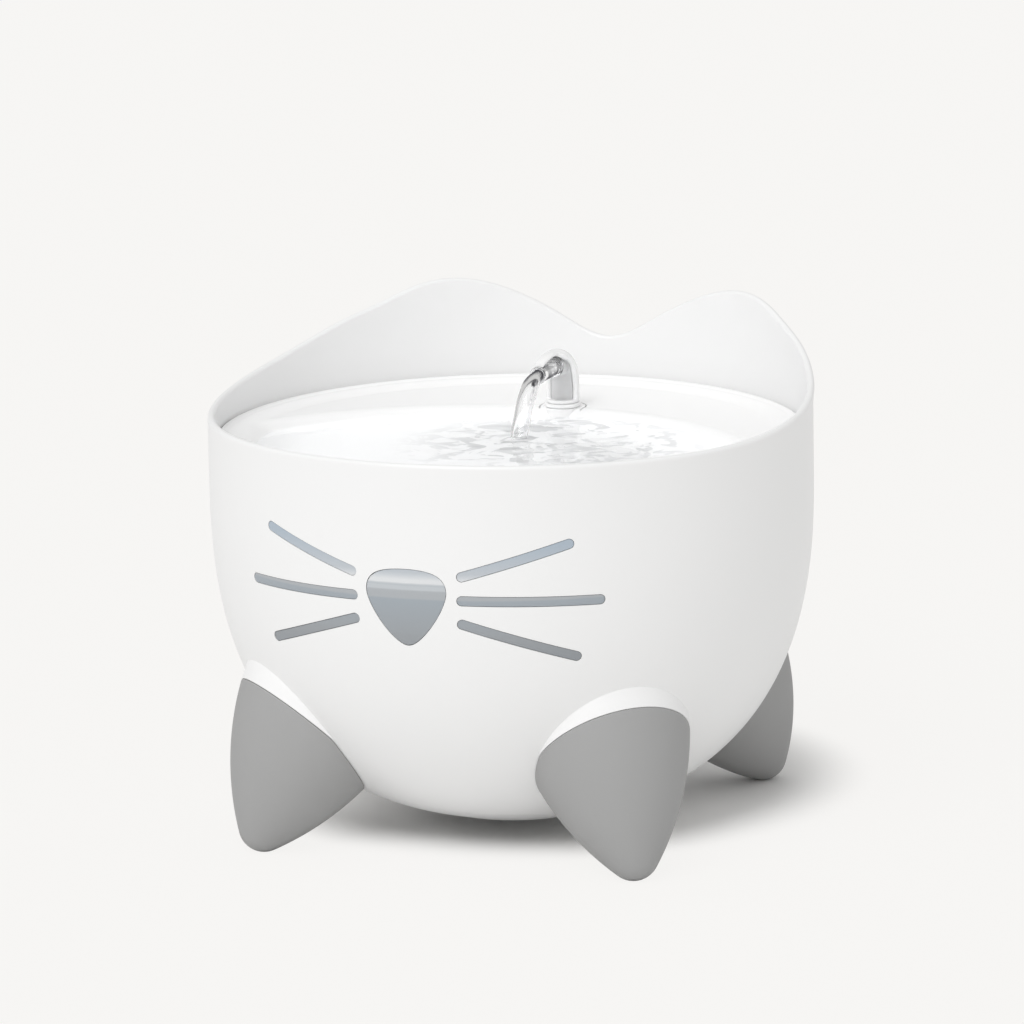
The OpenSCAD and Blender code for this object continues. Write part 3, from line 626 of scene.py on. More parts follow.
def make_bowl():
    """Wall from the bottom's middle up to the rounded rim and back down inside, with its openings."""
    theta = np.linspace(-180, 180, 480, endpoint=False)
    top = rim_height(theta) - WALL / 2
    middle = rim_radius(top) - WALL / 2
    shares = np.linspace(0, 1, 61)[1:] ** 1.05
    wall_z = [SHOULDER_Z + (top - SHOULDER_Z) * t for t in np.linspace(0, 1, 27)]
    places = list(zip(*bowl_curve(shares, 0)))
    places += [(rim_radius(z), z) for z in wall_z[1:]]
    places += [(middle + WALL / 2 * np.cos(t), top + WALL / 2 * np.sin(t))
               for t in np.radians(np.linspace(0, 180, 13)[1:-1])]
    places += [(rim_radius(z) - WALL, z) for z in wall_z[::-1]]
    places += zip(*bowl_curve(shares[::-1][1:], WALL))
    rows = rings(np.radians(theta - 90), places)
    bowl = new_object("bowl_shell", *closed_rings(rows, (0, 0, BOWL_LIFT), (0, 0, BOWL_LIFT + WALL)))
    combine(bowl, [tray_ledge(), floor_pad()], "UNION")
    whiskers = [whisker_prism(row, side) for side in (-1, 1) for row in WHISKERS]
    return combine(bowl, [nose_prism()] + whiskers + [lead_hole()], "DIFFERENCE")


def tray_ledge():
    """Ledge inside the bowl that carries the tray's flange."""
    top, outer, inner = TRAY_Z - FLANGE_T - 0.2, BOWL_R - WALL / 2, BOWL_R - WALL - 3.2
    return revolved("ledge", [(outer, top), (inner + 0.4, top), (inner, top - 0.4), (inner, top - 1.5),
                              (outer, top - 6.2)], steps=240)


def floor_pad():
    """Flat disc in the bowl's bottom, under the pump's suction cups."""
    low = BOWL_LIFT + WALL / 2
    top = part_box("suction_cups")[0].z / MM - 0.05
    return revolved("pad", [(0, low), (PAD_R, low), (PAD_R, top - 0.6), (PAD_R - 0.6, top), (0, top)],
                    steps=120)


def lead_hole():
    """Hole at the rear for the grommet of the pump's lead."""
    low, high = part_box("cable_grommet")
    z = (low.z + high.z) / 2 / MM
    turn = np.linspace(0, 2 * np.pi, 48, endpoint=False)
    outline = [(LEAD_HOLE_R * math.cos(t), LEAD_HOLE_R * math.sin(t)) for t in turn]
    return prism("lead_hole", outline, BOWL_R - 12, BOWL_R + 12, lambda x, y, d: (-x, d, z + y))


def bezier(points, t):
    """Point of a cubic curve from its four control points."""
    a, b, c, d = [np.array(p, float) for p in points]
    return (1 - t) ** 3 * a + 3 * (1 - t) ** 2 * t * b + 3 * (1 - t) * t * t * c + t ** 3 * d


def nose_outline():
    """Outline of the nose round its tip, anticlockwise seen from the front."""
    w, wide = NOSE_W / 2, 0.71 * NOSE_H
    flank = [(0, 0), (0.34 * w, 0), (w, 0.5 * NOSE_H), (w, wide)]
    brow = [(w, wide), (w, 0.93 * NOSE_H), (0.62 * w, NOSE_H), (0, NOSE_H)]
    half = [bezier(flank, t) for t in np.linspace(0, 1, 21)]
    half += [bezier(brow, t) for t in np.linspace(0, 1, 17)[1:]]
    return half + [np.array((-p[0], p[1])) for p in half[-2:0:-1]]


def nose_prism():
    base = FACE_Z - NOSE_DROP
    return prism("nose", nose_outline(), BOWL_R / 2, BOWL_R + 20, lambda x, y, d: (x, -d, base + y))


def whisker_prism(row, side):
    """Straight bar with round ends that cuts one whisker's slot."""
    start_z, end_z, end = row
    middle = math.radians((WHISKER_START + end) / 2)
    half = BOWL_R * math.sin(math.radians(end - WHISKER_START) / 2)
    rise = end_z - start_z
    length = math.hypot(2 * half, rise)
    tilt = math.atan2(rise, 2 * half)
    r = WHISKER_W / 2
    outline = [(length + r * math.cos(t), r * math.sin(t)) for t in np.linspace(-np.pi / 2, np.pi / 2, 17)]
    outline += [(-r * math.cos(t), -r * math.sin(t)) for t in np.linspace(-np.pi / 2, np.pi / 2, 17)]

    def place(x, y, d):
        along = x * math.cos(tilt) - y * math.sin(tilt) - half
        up = x * math.sin(tilt) + y * math.cos(tilt)
        return (side * (d * math.sin(middle) + along * math.cos(middle)),
                -d * math.cos(middle) + along * math.sin(middle), FACE_Z + start_z + up)

    if side < 0:
        outline = outline[::-1]
    return prism("whisker", outline, BOWL_R / 2, BOWL_R + 20, place)


# ---- feet -------------------------------------------------------------------
# angles of the columns of points round a foot's axis
FOOT_TURN = np.linspace(0, 2 * np.pi, 160, endpoint=False)


def foot_profile(steps, inset=0.0):
    """(radius, height) along the foot's own axis, from its tip up."""
    tip_r, flank_r = FOOT_TIP_R - inset, FOOT_FLANK_R - inset
    middle = FOOT_FLANK_R - FOOT_TIP_R
    opened = math.radians(FOOT_OPEN)
    top = math.asin((FOOT_LEN - middle * math.sin(opened)) / flank_r)
    tip_len = tip_r * (math.pi / 2 - opened)
    s = np.linspace(0, tip_len + flank_r * (top + opened), steps)
    on_tip = s < tip_len
    a = np.where(on_tip, -math.pi / 2 + s / tip_r, -opened + (s - tip_len) / flank_r)
    radius = np.where(on_tip, tip_r * np.cos(a), flank_r * np.cos(a) - middle * math.cos(opened))
    height = np.where(on_tip, tip_r * np.sin(a), flank_r * np.sin(a) + middle * math.sin(opened))
    return np.maximum(radius, 0), height


def foot_world(x, y, z):
    """Point of the foot's own frame in a frame whose +X points outwards through the foot."""
    t = math.radians(FOOT_TILT)
    out = FOOT_RHO + x * math.cos(t) - z * math.sin(t)
    up = FOOT_TIP_R - FOOT_FLAT + x * math.sin(t) + z * math.cos(t)
    return out, y, up


def above_boot(x, z, drop=0.0):
    """How far a point lies above a boot's top edge, square to it."""
    t = math.radians(BOOT_SLOPE)
    return -(x - FOOT_RHO) * math.sin(t) + (z - BOOT_Z + drop) * math.cos(t)


def inside_bowl(x, y, z, inset=0.0):
    """How far a point lies inside the bowl's outer surface, measured level."""
    return bowl_radius(z, inset) - np.hypot(x, y)


def first_share(value):
    """For each column, the share of the way (0 to 1) at which value first turns positive, or 1."""
    rows = value.shape[0]
    above = value > 0
    i = np.argmax(above, axis=0)
    none = ~above.any(axis=0)
    i = np.clip(i, 1, rows - 1)
    j = np.arange(value.shape[1])
    a, b = value[i - 1, j], value[i, j]
    share = (i - 1 + np.clip(-a / np.where(b - a == 0, 1, b - a), 0, 1)) / (rows - 1)
    share[none] = 1.0
    return share


def foot_grid(shares, inset=0.0):
    """Points at shares, whose last axis is the columns, of the way up the foot's profile."""
    fine = 2001
    radius, height = foot_profile(fine, inset)
    at = shares * (fine - 1)
    r = np.interp(at, np.arange(fine), radius)
    h = np.interp(at, np.arange(fine), height)
    return foot_world(r * np.cos(FOOT_TURN), r * np.sin(FOOT_TURN), h)


def foot_ring(shares, inset=0.0):
    """Ring of points, each at its column's share of the way up."""
    return np.stack(foot_grid(shares, inset), axis=-1)


def foot_edges(inset=0.0, drop=0.0, skin=0.0):
    """Share of the way up at which each column meets the boot's top edge, and the bowl."""
    shares = np.repeat(np.linspace(0, 1, 500)[:, None], len(FOOT_TURN), axis=1)
    x, y, z = foot_grid(shares, inset)
    return first_share(above_boot(x, z, drop)), first_share(inside_bowl(x, y, z, -skin))


def turned(verts, right, rear):
    """Points turned from +X round to one of the four feet."""
    a = math.radians((90 if rear else -90) + (-1 if right == rear else 1) * FOOT_ANGLE)
    x, y, z = verts.T
    return np.stack([x * math.cos(a) - y * math.sin(a), x * math.sin(a) + y * math.cos(a), z], axis=1)


def boot_mesh():
    """Points and faces of one boot, a cup with a rounded edge."""
    end = np.minimum(*foot_edges(drop=BOOT_DROP, skin=BOOT_SKIN))
    inner_end = np.minimum(*foot_edges(BOOT_T, drop=BOOT_DROP, skin=BOOT_SKIN))
    rows = [foot_ring((end - BOOT_ROUND) * t) for t in np.linspace(0, 1, 70)[1:]]
    start, corner, inside = rows[-1], foot_ring(end), foot_ring(inner_end, BOOT_T)
    across = corner + (inside - corner) * 0.25
    for t in np.linspace(0, 1, 6)[1:]:
        rows.append((1 - t) ** 2 * start + 2 * t * (1 - t) * corner + t * t * across)
    rows.append(inside)
    rows += [foot_ring(inner_end * t, BOOT_T) for t in np.linspace(1, 0, 30)[1:-1]]
    tip, inner_tip = foot_world(0, 0, -FOOT_TIP_R), foot_world(0, 0, -FOOT_TIP_R + BOOT_T)
    verts, faces = closed_rings(rows, tip, inner_tip)
    verts[:, 2] = np.maximum(verts[:, 2], 0)
    return verts, faces


def leg_mesh():
    """Points and faces of one leg: its visible hip, and the core that the boot sits on."""
    core = BOOT_T + 0.1
    hollow = core + WALL
    edge, bowl = foot_edges()
    edge = np.minimum(edge, bowl)
    core_rise = np.maximum(np.minimum(*foot_edges(core)), CORE_START) - CORE_START
    hollow_rise = np.maximum(foot_edges(hollow, skin=-WALL / 2)[1], CORE_START) - CORE_START
    deep = foot_edges(skin=-WALL / 2)[1]
    rows = [foot_ring(np.maximum(deep, bowl))]
    rows += [foot_ring(edge + (bowl - edge) * t) for t in np.linspace(1, 0, 24)]
    rows += [foot_ring(CORE_START + core_rise * t, core) for t in np.linspace(1, 0, 24)]
    rows += [foot_ring(CORE_START + hollow_rise * t, hollow) for t in np.linspace(0, 1, 24)]
    return np.concatenate(rows), grid_faces(len(rows), len(FOOT_TURN), wrap_rows=True)


def make_feet(materials):
    boot_verts, boot_faces = boot_mesh()
    leg_verts, leg_faces = leg_mesh()
    legs = []
    for rear in (False, True):
        for right in (False, True):
            name = ("rear" if rear else "front") + ("_right" if right else "_left")
            boot = new_object("boot_" + name, turned(boot_verts, right, rear), boot_faces)
            dress(boot, "base", "boot_rubber", materials["boot"], "foot_boot_" + name)
            leg = new_object("leg_" + name, turned(leg_verts, right, rear), leg_faces)
            legs.append(leg)
    return legs


# ---- tray -------------------------------------------------------------------
def tray_top(x, y):
    """Height of the tray's upper surface."""
    r = np.hypot(x, y)
    shelf_z = TRAY_Z - SHELF_DROP
    back = np.hypot(x, y - (POOL_BACK_Y - POOL_BACK_R))
    outer = POOL_Z + POOL_DEPTH * smooth((r - POOL_FLOOR_R) / (POOL_LIP_R - POOL_FLOOR_R))
    rear = POOL_Z + (shelf_z - POOL_Z) * smooth((back - POOL_BACK_R + 4) / 12)
    shelf = shelf_z + SHELF_DROP * (np.clip(r - 50, 0, None) / (POOL_LIP_R - 50)) ** 2
    return soft_min(soft_max(outer, rear, 2.0), shelf, 2.5)


def make_tray():
    """Dish from its middle out over the flange and back underneath, with the spout's boss and the well."""
    theta = np.linspace(0, 2 * np.pi, 360, endpoint=False)
    c, s = np.cos(theta), np.sin(theta)
    places = [(r, np.minimum(tray_top(r * c, r * s), TRAY_Z)) for r in np.linspace(0, POOL_LIP_R, 141)[1:]]
    places += [(TRAY_R - 1.0 + np.cos(a), TRAY_Z - 1.0 + np.sin(a))
               for a in np.radians(np.linspace(90, 0, 7))]
    places += [(TRAY_R, TRAY_Z - FLANGE_T + 0.3), (TRAY_R - 0.3, TRAY_Z - FLANGE_T)]
    places += [(r, np.minimum(tray_top(r * c, r * s) - TRAY_T, TRAY_Z - FLANGE_T))
               for r in np.linspace(TRAY_R - 3.2, 0, 70)[:-1]]
    rows = rings(theta, places)
    mid = float(tray_top(np.array(0.0), np.array(0.0)))
    tray = new_object("tray_shell", *closed_rings(rows, (0, 0, mid), (0, 0, mid - TRAY_T), flip=True))

    seat = spout_disc("seat", ARCH_R + 0.75, BOSS_Z, BOSS_Z + 12)
    combine(tray, [seat, groove_cutter(BOSS_R, BOSS_R + GROOVE_W, BOSS_Z - 1.5)], "DIFFERENCE")
    low = POOL_Z - TRAY_T - 8
    flare = [(COLUMN_R + 3.6 * t ** 3, BOSS_Z - 1.0 - (BOSS_Z - 0.8 - POOL_Z) * t)
             for t in np.linspace(1, 0, 14)]
    boss = revolved("boss", [(0, low), (BOSS_R, low), (BOSS_R, POOL_Z - 1), *flare,
                             (COLUMN_R, BOSS_Z - 0.5), (COLUMN_R - 0.15, BOSS_Z - 0.15),
                             (COLUMN_R - 0.5, BOSS_Z), (0, BOSS_Z)], middle_y=SPOUT_Y)
    collar = spout_disc("collar", BOSS_R + GROOVE_W + 2, BOSS_Z - 2.5 - TRAY_T, BOSS_Z - 5)
    well = stadium_prism("well", WELL_W + 4.8, WELL_D + 4.8, WELL_FLOOR - 2, POOL_Z - 1)
    combine(tray, [boss, collar, well], "UNION")
    bore = spout_disc("bore", BOSS_R - 2.75, low - 5, BOSS_Z + 5)
    inside = stadium_prism("inside", WELL_W, WELL_D, WELL_FLOOR, TRAY_Z)
    slots = [stadium_prism("slot", 3, WELL_D - 8, WELL_FLOOR - 5, WELL_FLOOR + 5, i * 6.5)
             for i in range(-3, 4)]
    return combine(tray, [bore, inside] + slots, "DIFFERENCE")


def spout_disc(name, r, low, high):
    """Cylinder on the spout's axis."""
    return revolved(name, [(0, low), (r, low), (r, high), (0, high)], middle_y=SPOUT_Y)


def groove_cutter(inner, outer, low):
    """Curved bar that cuts the groove behind and beside the spout's column."""
    turn = np.radians(np.linspace(*GROOVE_ARC, 97))
    outline = [(outer * math.cos(a), outer * math.sin(a)) for a in turn]
    outline += [(inner * math.cos(a), inner * math.sin(a)) for a in turn[::-1]]
    return prism("groove", outline, low, TRAY_Z + 12, lambda x, y, z: (x, SPOUT_Y + y, z))


def stadium(w, d):
    """Outline with round ends, w wide and d deep."""
    r = min(w, d) / 2
    dx, dy = w / 2 - r, d / 2 - r
    points = []
    for k, (sx, sy) in enumerate([(1, -1), (1, 1), (-1, 1), (-1, -1)]):
        for t in np.linspace(0, np.pi / 2, 12):
            a = -np.pi / 2 + k * np.pi / 2 + t
            points.append((sx * dx + r * math.cos(a), sy * dy + r * math.sin(a)))
    return [p for i, p in enumerate(points) if math.dist(p, points[i - 1]) > 1e-6]


def stadium_prism(name, w, d, low, high, x0=0.0):
    """Upright prism over a stadium at the filter's place."""
    return prism(name, stadium(w, d), low, high, lambda x, y, z: (x0 + x, -FILTER_Y + y, z))


# ---- spout ------------------------------------------------------------------
def spout_path(along, offset=0.0):
    """Middle of a section on the spout's way and its outward direction, both in the plane x = 0.

    along runs up the leg from HEAD_Z, round the bend and forward, in millimetres of the way without
    offset; offset moves the point away from the bend's middle."""
    leg = OUTLET_Z - ARCH_BEND - HEAD_Z
    bend = ARCH_BEND * math.pi / 2
    if along < leg:
        point, out = (SPOUT_Y, HEAD_Z + along), (1.0, 0.0)
    elif along < leg + bend:
        a = (along - leg) / ARCH_BEND
        out = (math.cos(a), math.sin(a))
        point = (SPOUT_Y - ARCH_BEND + ARCH_BEND * out[0], OUTLET_Z - ARCH_BEND + ARCH_BEND * out[1])
    else:
        point, out = (SPOUT_Y - ARCH_BEND - (along - leg - bend), OUTLET_Z), (0.0, 1.0)
    return (point[0] + offset * out[0], point[1] + offset * out[1]), out


SPOUT_LEG = OUTLET_Z - ARCH_BEND - HEAD_Z
SPOUT_BENT = SPOUT_LEG + ARCH_BEND * math.pi / 2


def open_face():
    """(y, z) points along the arch's open face, from its collar up to the hood's tip and beyond."""
    s = np.linspace(-0.1, 1.12, 160)
    low = HEAD_Z + COLLAR_H
    rise, lean = OUTLET_Z + ARCH_R - low, HOOD_REACH - OPEN_Y
    across = math.hypot(lean, rise)
    bow = 4 * OPEN_BOW * s * (1 - s)
    y = SPOUT_Y - OPEN_Y - lean * s + bow * rise / across
    z = low + rise * s + bow * lean / across
    return np.stack([y, z], axis=1)


def open_offset(along, face):
    """Distance of the open face from the arch's middle line, outwards positive, at a place on its way."""
    (y, z), (oy, oz) = spout_path(along)
    over = (face[:, 0] - y) * -oz + (face[:, 1] - z) * oy
    out = (face[:, 0] - y) * oy + (face[:, 1] - z) * oz
    cross = [i for i in range(len(over) - 1) if over[i] * over[i + 1] <= 0 and abs(out[i]) < 2 * ARCH_R]
    if not cross:
        return -ARCH_R
    i = cross[0]
    t = over[i] / (over[i] - over[i + 1] or 1)
    return float(out[i] + (out[i + 1] - out[i]) * t)


def c_section(outer, inner, half_angle):
    """(radius, angle) points round an open ring's section with rounded lips, angle 0 facing outwards."""
    middle, half = (outer + inner) / 2, (outer - inner) / 2
    points = [(outer, a) for a in np.linspace(-half_angle, half_angle, 49)]
    lip = np.linspace(0, np.pi, 12)[1:-1]
    points += [(middle + half * math.cos(t), half_angle + half * math.sin(t) / middle) for t in lip]
    points += [(inner, a) for a in np.linspace(half_angle, -half_angle, 49)]
    points += [(middle - half * math.cos(t), -half_angle - half * math.sin(t) / middle) for t in lip]
    return points


def swept(name, stations):
    """Solid through sections; each station is (along, offset, [(radius, angle), ...])."""
    verts = []
    for along, offset, section in stations:
        (y, z), out = spout_path(along, offset)
        for radius, a in section:
            up = radius * math.cos(a)
            verts.append((radius * math.sin(a), y + up * out[0], z + up * out[1]))
    faces = bar_faces(len(stations), len(stations[0][2]), flip=True)
    return new_object(name, verts, faces, sharp=50.0)


def beak(along):
    """(half angle, wall, drop) of the beak that covers the nozzle from above.

    It narrows from 50 to 20 degrees over its first fifth and slowly from there on."""
    share = (along - SPOUT_BENT) / BEAK_LEN
    half_angle = math.radians(20 + 30 * (1 - float(smooth(np.array(share / 0.22)))) - 7 * max(0.0, share))
    wall = ARCH_WALL - 1.0 * float(smooth(np.array(share / 0.4)))
    drop = BEAK_DROP * max(0.0, share - 0.3) ** 2 / 0.49
    return half_angle, wall, drop


def make_hood():
    """White arch, open at its front, with a beak over the nozzle."""
    face = open_face()
    stations = []
    leg = np.linspace(0.8, SPOUT_LEG, 10)
    bend = np.linspace(SPOUT_LEG, SPOUT_BENT, 50)[1:]
    ahead = np.linspace(SPOUT_BENT, SPOUT_BENT + BEAK_LEN, 40)[1:]
    for along in np.concatenate([leg, bend, ahead]):
        half_angle, wall, drop = beak(along)
        if along <= SPOUT_BENT - 0.01:
            middle = ARCH_R - wall / 2
            cut = open_offset(along, face) / middle
            half_angle = math.acos(min(1.0, max(-0.97, cut))) - wall / 2 / middle
        stations.append((along, -drop, c_section(ARCH_R, ARCH_R - wall, half_angle)))
    hood = swept("spout_hood", stations)
    r, low, high = ARCH_R - 0.2, HEAD_Z, HEAD_Z + COLLAR_H
    collar = revolved("collar", [(r - 2.0, low), (r - 0.2, low), (r, low + 0.2), (r, high - 0.2),
                                 (r - 0.2, high), (r - 2.0, high)], middle_y=SPOUT_Y)
    return combine(hood, [collar], "UNION")


def make_stem():
    """Stem that plugs into the tray's boss: flange, short spigot, seal groove and hose socket."""
    flange_r, low, high = ARCH_R + 0.5, BOSS_Z + 0.2, BOSS_Z + 1.7
    stem_r, socket_r, spigot_r = BOSS_R - 2.9, 4.1, 3.2
    foot, seal = POOL_Z - TRAY_T - 12, BOSS_Z - 6
    profile = [(BORE_R, high + 0.8), (spigot_r - 0.2, high + 0.8), (spigot_r, high + 0.6), (spigot_r, high),
               (flange_r - 0.4, high), (flange_r - 0.1, high - 0.1), (flange_r, high - 0.4),
               (flange_r, low + 0.4), (flange_r - 0.1, low + 0.1), (flange_r - 0.4, low), (stem_r, low),
               (stem_r, seal + 0.7), (stem_r - 1.15, seal + 0.7), (stem_r - 1.15, seal - 0.7),
               (stem_r, seal - 0.7), (stem_r, foot + 0.4), (stem_r - 0.4, foot), (socket_r, foot),
               (socket_r, BOSS_Z - 5), (BORE_R, BOSS_Z - 5)]
    return revolved("spout_stem_turned", profile, steps=120, middle_y=SPOUT_Y)


def cut_section(r, cut):
    """(radius, angle) points round a bar's section, cut flat at a distance from its middle."""
    half_angle = math.acos(max(-0.999, cut / r))
    points = [(r, a) for a in np.linspace(-half_angle, half_angle, 49)]
    for u in np.linspace(1, -1, 17)[1:-1]:
        side, out = r * math.sin(half_angle) * u, r * math.cos(half_angle)
        points.append((math.hypot(side, out), math.atan2(side, out)))
    return points


def make_insert():
    """Grey filling of the arch, flat along its open face, and the pipe that carries the nozzle."""
    face = open_face()
    r = ARCH_R - ARCH_WALL - 0.05
    stations = []
    leg = np.linspace(0.0, SPOUT_LEG, 8)
    bend = np.linspace(SPOUT_LEG, SPOUT_BENT + 4, 60)[1:]
    for along in np.concatenate([leg, bend]):
        cut = open_offset(along, face) + 0.5
        if cut > 0.9 * r:
            break
        stations.append((along, 0.0, cut_section(r, cut)))
    body = swept("spout_insert", stations)
    ring = [(PIPE_R, a) for a in np.linspace(-np.pi, np.pi, 64, endpoint=False)]
    pipe = [(along, 0.0, ring) for along in np.linspace(SPOUT_BENT - 5.5, SPOUT_BENT, 14)]
    pipe.append((SPOUT_BENT + 1.1, 0.0, ring))
    return combine(body, [swept("pipe", pipe)], "UNION", sharp=50.0)


def make_nozzle():
    """Clear tube with a bevelled collar at its root and a rounded ring at its mouth."""
    r, root, mouth = NOZZLE_R, SPOUT_Y - ARCH_BEND - 1.2, SPOUT_Y - OUTLET_REACH
    profile = [(BORE_R, root), (r + 0.3, root), (r + 0.6, root - 0.3), (r + 0.6, root - 1.5),
               (r + 0.1, root - 2.0), (r + 0.1, root - 2.8), (r + 0.4, root - 3.2),
               (r + 0.4, root - 3.8), (r, root - 4.2), (r, mouth + 1.1), (r + 0.25, mouth + 0.8),
               (r + 0.25, mouth + 0.25), (r, mouth), (BORE_R + 0.25, mouth), (BORE_R, mouth + 0.3)]
    tube = revolved("spout_nozzle", profile, steps=72)
    turn = Matrix(((1, 0, 0), (0, 0, 1), (0, -1, 0))).to_4x4()
    tube.data.transform(turn)
    tube.data.transform(Matrix.Translation((0, 0, OUTLET_Z * MM)))
    tube.data.update()
    return tube


def stream_middle(t):
    """Middle of the falling water at a share of its way, in the plane x = 0, and its direction there.

    It starts inside the nozzle, runs level at first and then falls."""
    level = 5.0
    start_y = SPOUT_Y - OUTLET_REACH + level + 1.0
    reach, drop = start_y - STREAM_END_Y, OUTLET_Z - WATER_Z + 0.5
    y = start_y - reach * t
    fall = max(0.0, (start_y - level - y) / (reach - level))
    z = OUTLET_Z - 0.1 - drop * fall ** 2
    slope = -2 * drop * fall / (reach - level)
    length = math.hypot(1, slope)
    return y, z, (-1 / length, slope / length)


def make_stream():
    """Water that leaves the nozzle and bends down into the pool."""
    verts, rows, cols = [], 60, 40
    for i in range(rows):
        t = i / (rows - 1)
        y, z, (dy, dz) = stream_middle(t)
        spread = float(smooth(np.array((t - 0.15) / 0.35)))
        wide = 2.3 + 1.5 * spread - 0.4 * t
        deep = 2.3 - 0.15 * t
        for a in np.linspace(0, 2 * np.pi, cols, endpoint=False):
            wave = 1 + 0.05 * math.sin(9 * t + 2 * a) * t + 0.03 * math.sin(23 * t + 3 * a) * t
            x, n = wide * wave * math.cos(a), deep * wave * math.sin(a)
            verts.append((x - 0.6 * spread, y - n * dz, z + n * dy))
    return new_object("water_stream", verts, bar_faces(rows, cols))


# ---- pool water -------------------------------------------------------------
def water_top(x, y):
    """Height of the pool's surface, rippled where the stream lands."""
    far = np.hypot(x - LANDING[0], (y - LANDING[1]) * 1.05)
    stirred = np.hypot(x - STIRRED[0], (y - STIRRED[1]) * 1.3)
    ring = 0.22 * np.cos(far * 0.52 + 1.3 * np.sin(x * 0.13 + y * 0.07)) * np.exp(-far / 26.0)
    swell = 0.12 * np.sin(x * 0.21 + 1.1 * np.sin(y * 0.13)) * np.cos(y * 0.19 + x * 0.08)
    chop = 0.07 * np.sin(x * 0.43 + 1.7 * np.sin(y * 0.21)) * np.sin(y * 0.37 + 0.8 * np.sin(x * 0.17))
    crown = 0.35 * np.exp(-((far - 4.2) / 1.8) ** 2)
    return (WATER_Z + ring + swell * np.exp(-stirred / 40.0)
            + chop * np.exp(-(stirred / 45.0) ** 2) + crown)


def make_water():
    """Water in the tray's pool, a solid between its surface and the pool's walls."""
    theta = np.linspace(0, 2 * np.pi, 300, endpoint=False)
    c, s = np.cos(theta), np.sin(theta)
    middle_y = -8.0
    reach = np.linspace(20, 112, 900)[:, None]
    depth = WATER_Z - tray_top(reach * c, middle_y + reach * s)
    shore = reach[np.argmax(depth < -SOAK, axis=0), 0]
    top_rows, low_rows = [], []
    for share in np.linspace(0, 1, 150)[1:]:
        x, y = shore * share * c, middle_y + shore * share * s
        fade = smooth((1 - share) / 0.06)
        top = WATER_Z + (water_top(x, y) - WATER_Z) * fade
        top_rows.append(np.stack([x, y, top], axis=1))
        low_rows.append(np.stack([x, y, np.minimum(tray_top(x, y) - SOAK, top - 0.02)], axis=1))
    mid = float(water_top(np.array(0.0), np.array(middle_y)))
    start, end = (0, middle_y, mid), (0, middle_y, POOL_Z - SOAK)
    return new_object("pool_water", *closed_rings(top_rows + low_rows[::-1], start, end, flip=True))


# ---- light and ground -------------------------------------------------------
def make_stage():
    """Pale ground that shows the shadow below the fountain and fades to the backdrop round it."""
    mesh = bpy.data.meshes.new("floor")
    size = FLOOR_HALF * MM
    corners = [(-size, -size, 0), (size, -size, 0), (size, size, 0), (-size, size, 0)]
    mesh.from_pydata(corners, [], [(0, 1, 2, 3)])
    floor = bpy.data.objects.new("floor", mesh)
    scene.collection.objects.link(floor)
    material, tree, shader = node_material("floor")
    shader.inputs["Base Color"].default_value = (*FLOOR_COLOUR, 1)
    shader.inputs["Roughness"].default_value = 0.8
    shader.inputs["Specular IOR Level"].default_value = 0.1
    backdrop = tree.nodes.new("ShaderNodeEmission")
    backdrop.inputs["Color"].default_value = (*BACKDROP_COLOUR, 1)
    away = distance_from(tree, (*SHADOW_MIDDLE, 0))
    share = remap(tree, away, SHADOW_FULL * MM, SHADOW_END * MM, 0.0, 0.95, "SMOOTHSTEP")
    path = tree.nodes.new("ShaderNodeLightPath")
    seen = calculate(tree, "MULTIPLY", share, path.outputs["Is Camera Ray"])
    show(tree, mix_shaders(tree, seen, shader.outputs["BSDF"], backdrop.outputs["Emission"]))
    mesh.materials.append(material)


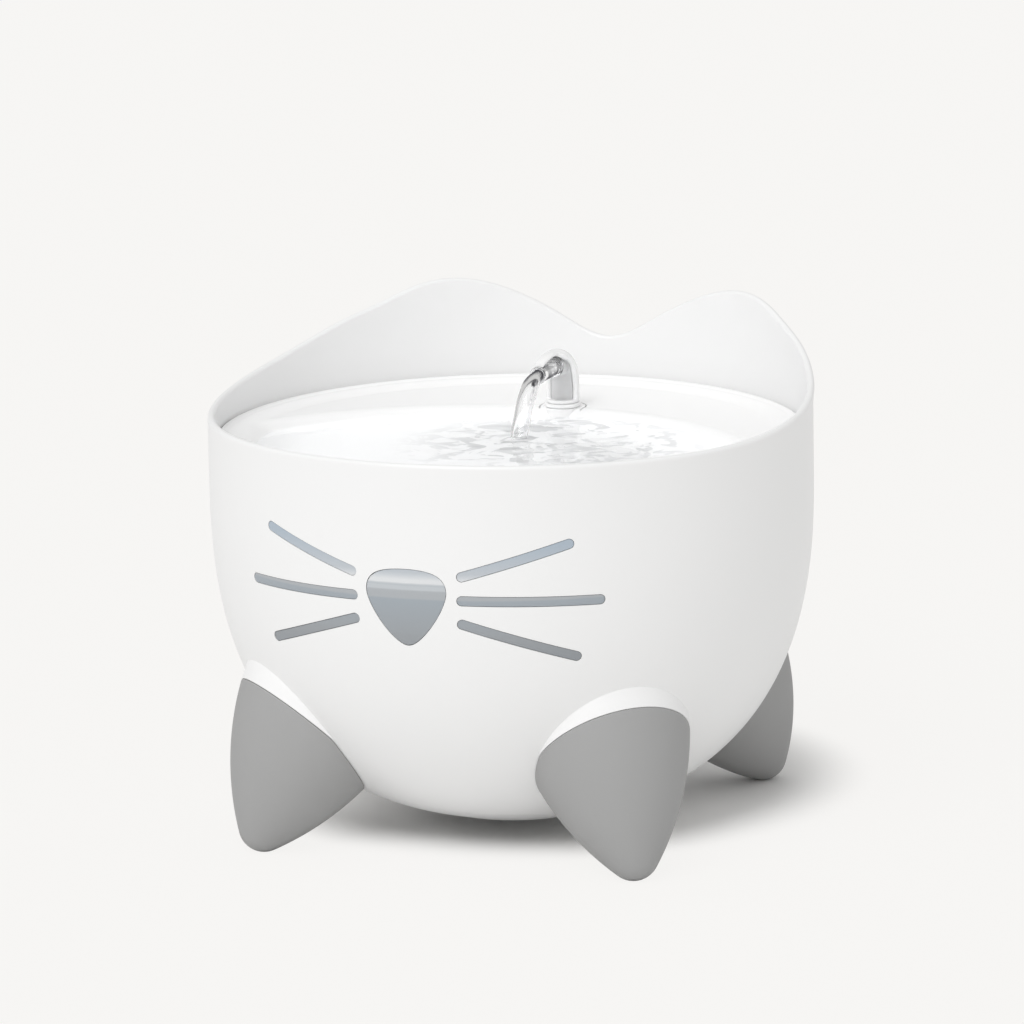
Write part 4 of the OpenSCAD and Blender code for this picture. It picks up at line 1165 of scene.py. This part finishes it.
def make_light():
    """Even white sky, and one broad sun from the front and above, a little from the left."""
    world = bpy.data.worlds.new("studio")
    scene.world = world
    world.use_nodes = True
    background = world.node_tree.nodes["Background"]
    background.inputs["Color"].default_value = (1.0, 1.0, 0.995, 1)
    background.inputs["Strength"].default_value = SKY_STRENGTH
    sun = bpy.data.lights.new("key", "SUN")
    sun.energy = SUN_STRENGTH
    sun.angle = math.radians(SUN_SPREAD)
    key = bpy.data.objects.new("key", sun)
    key.rotation_euler = (math.radians(SUN_TILT), 0, math.radians(SUN_TURN))
    scene.collection.objects.link(key)


# ---- assembly ---------------------------------------------------------------
SLOT_MATERIALS = {
    "bowl_plastic": "bowl", "tray_plastic": "tray", "spout_plastic": "spout", "boot_rubber": "boot",
    "seal_rubber": "seal", "window_plastic": "window", "clear_plastic": "clear", "insert_plastic": "insert",
    "tubing": "tubing", "frame_plastic": "frame", "pad_fibre": "pad", "carbon_media": "media",
    "pump_plastic": "pump", "dial_plastic": "dial", "impeller_plastic": "impeller",
    "magnet_ferrite": "magnet", "shaft_steel": "steel", "foam": "foam",
}


def dress_cad(materials):
    """Every CAD node gets the procedural material of its slot."""
    slots = {s["node"]: s["material_slot"] for s in frame["record"]["subparts"]}
    for name, obj in frame["nodes"].items():
        material = materials[SLOT_MATERIALS[slots[name]]]
        for slot in obj.material_slots:
            slot.material = material
        if not obj.material_slots:
            obj.data.materials.append(material)


make_camera()
materials = make_materials()
dress_cad(materials)
bowl = make_bowl()
dress(bowl, "base", "bowl_plastic", materials["bowl"], "bowl")
for leg in make_feet(materials):
    dress(leg, "base", "bowl_plastic", materials["bowl"])
dress(make_tray(), "tray_body", "tray_plastic", materials["tray"], "tray")
dress(make_hood(), "spout_head", "spout_plastic", materials["spout"], "spout_shell")
dress(make_stem(), "spout_base", "spout_plastic", materials["spout"], "spout_stem")
dress(make_insert(), "spout_head", "insert_plastic", materials["insert"], "spout_insert")
dress(make_nozzle(), "spout_head", "clear_plastic", materials["nozzle"], "spout_nozzle")
dress(make_stream(), "spout_head", "clear_plastic", materials["stream"])
dress(make_water(), "tray_body", "clear_plastic", materials["water"])
make_stage()
make_light()

scene.view_settings.view_transform = "Standard"
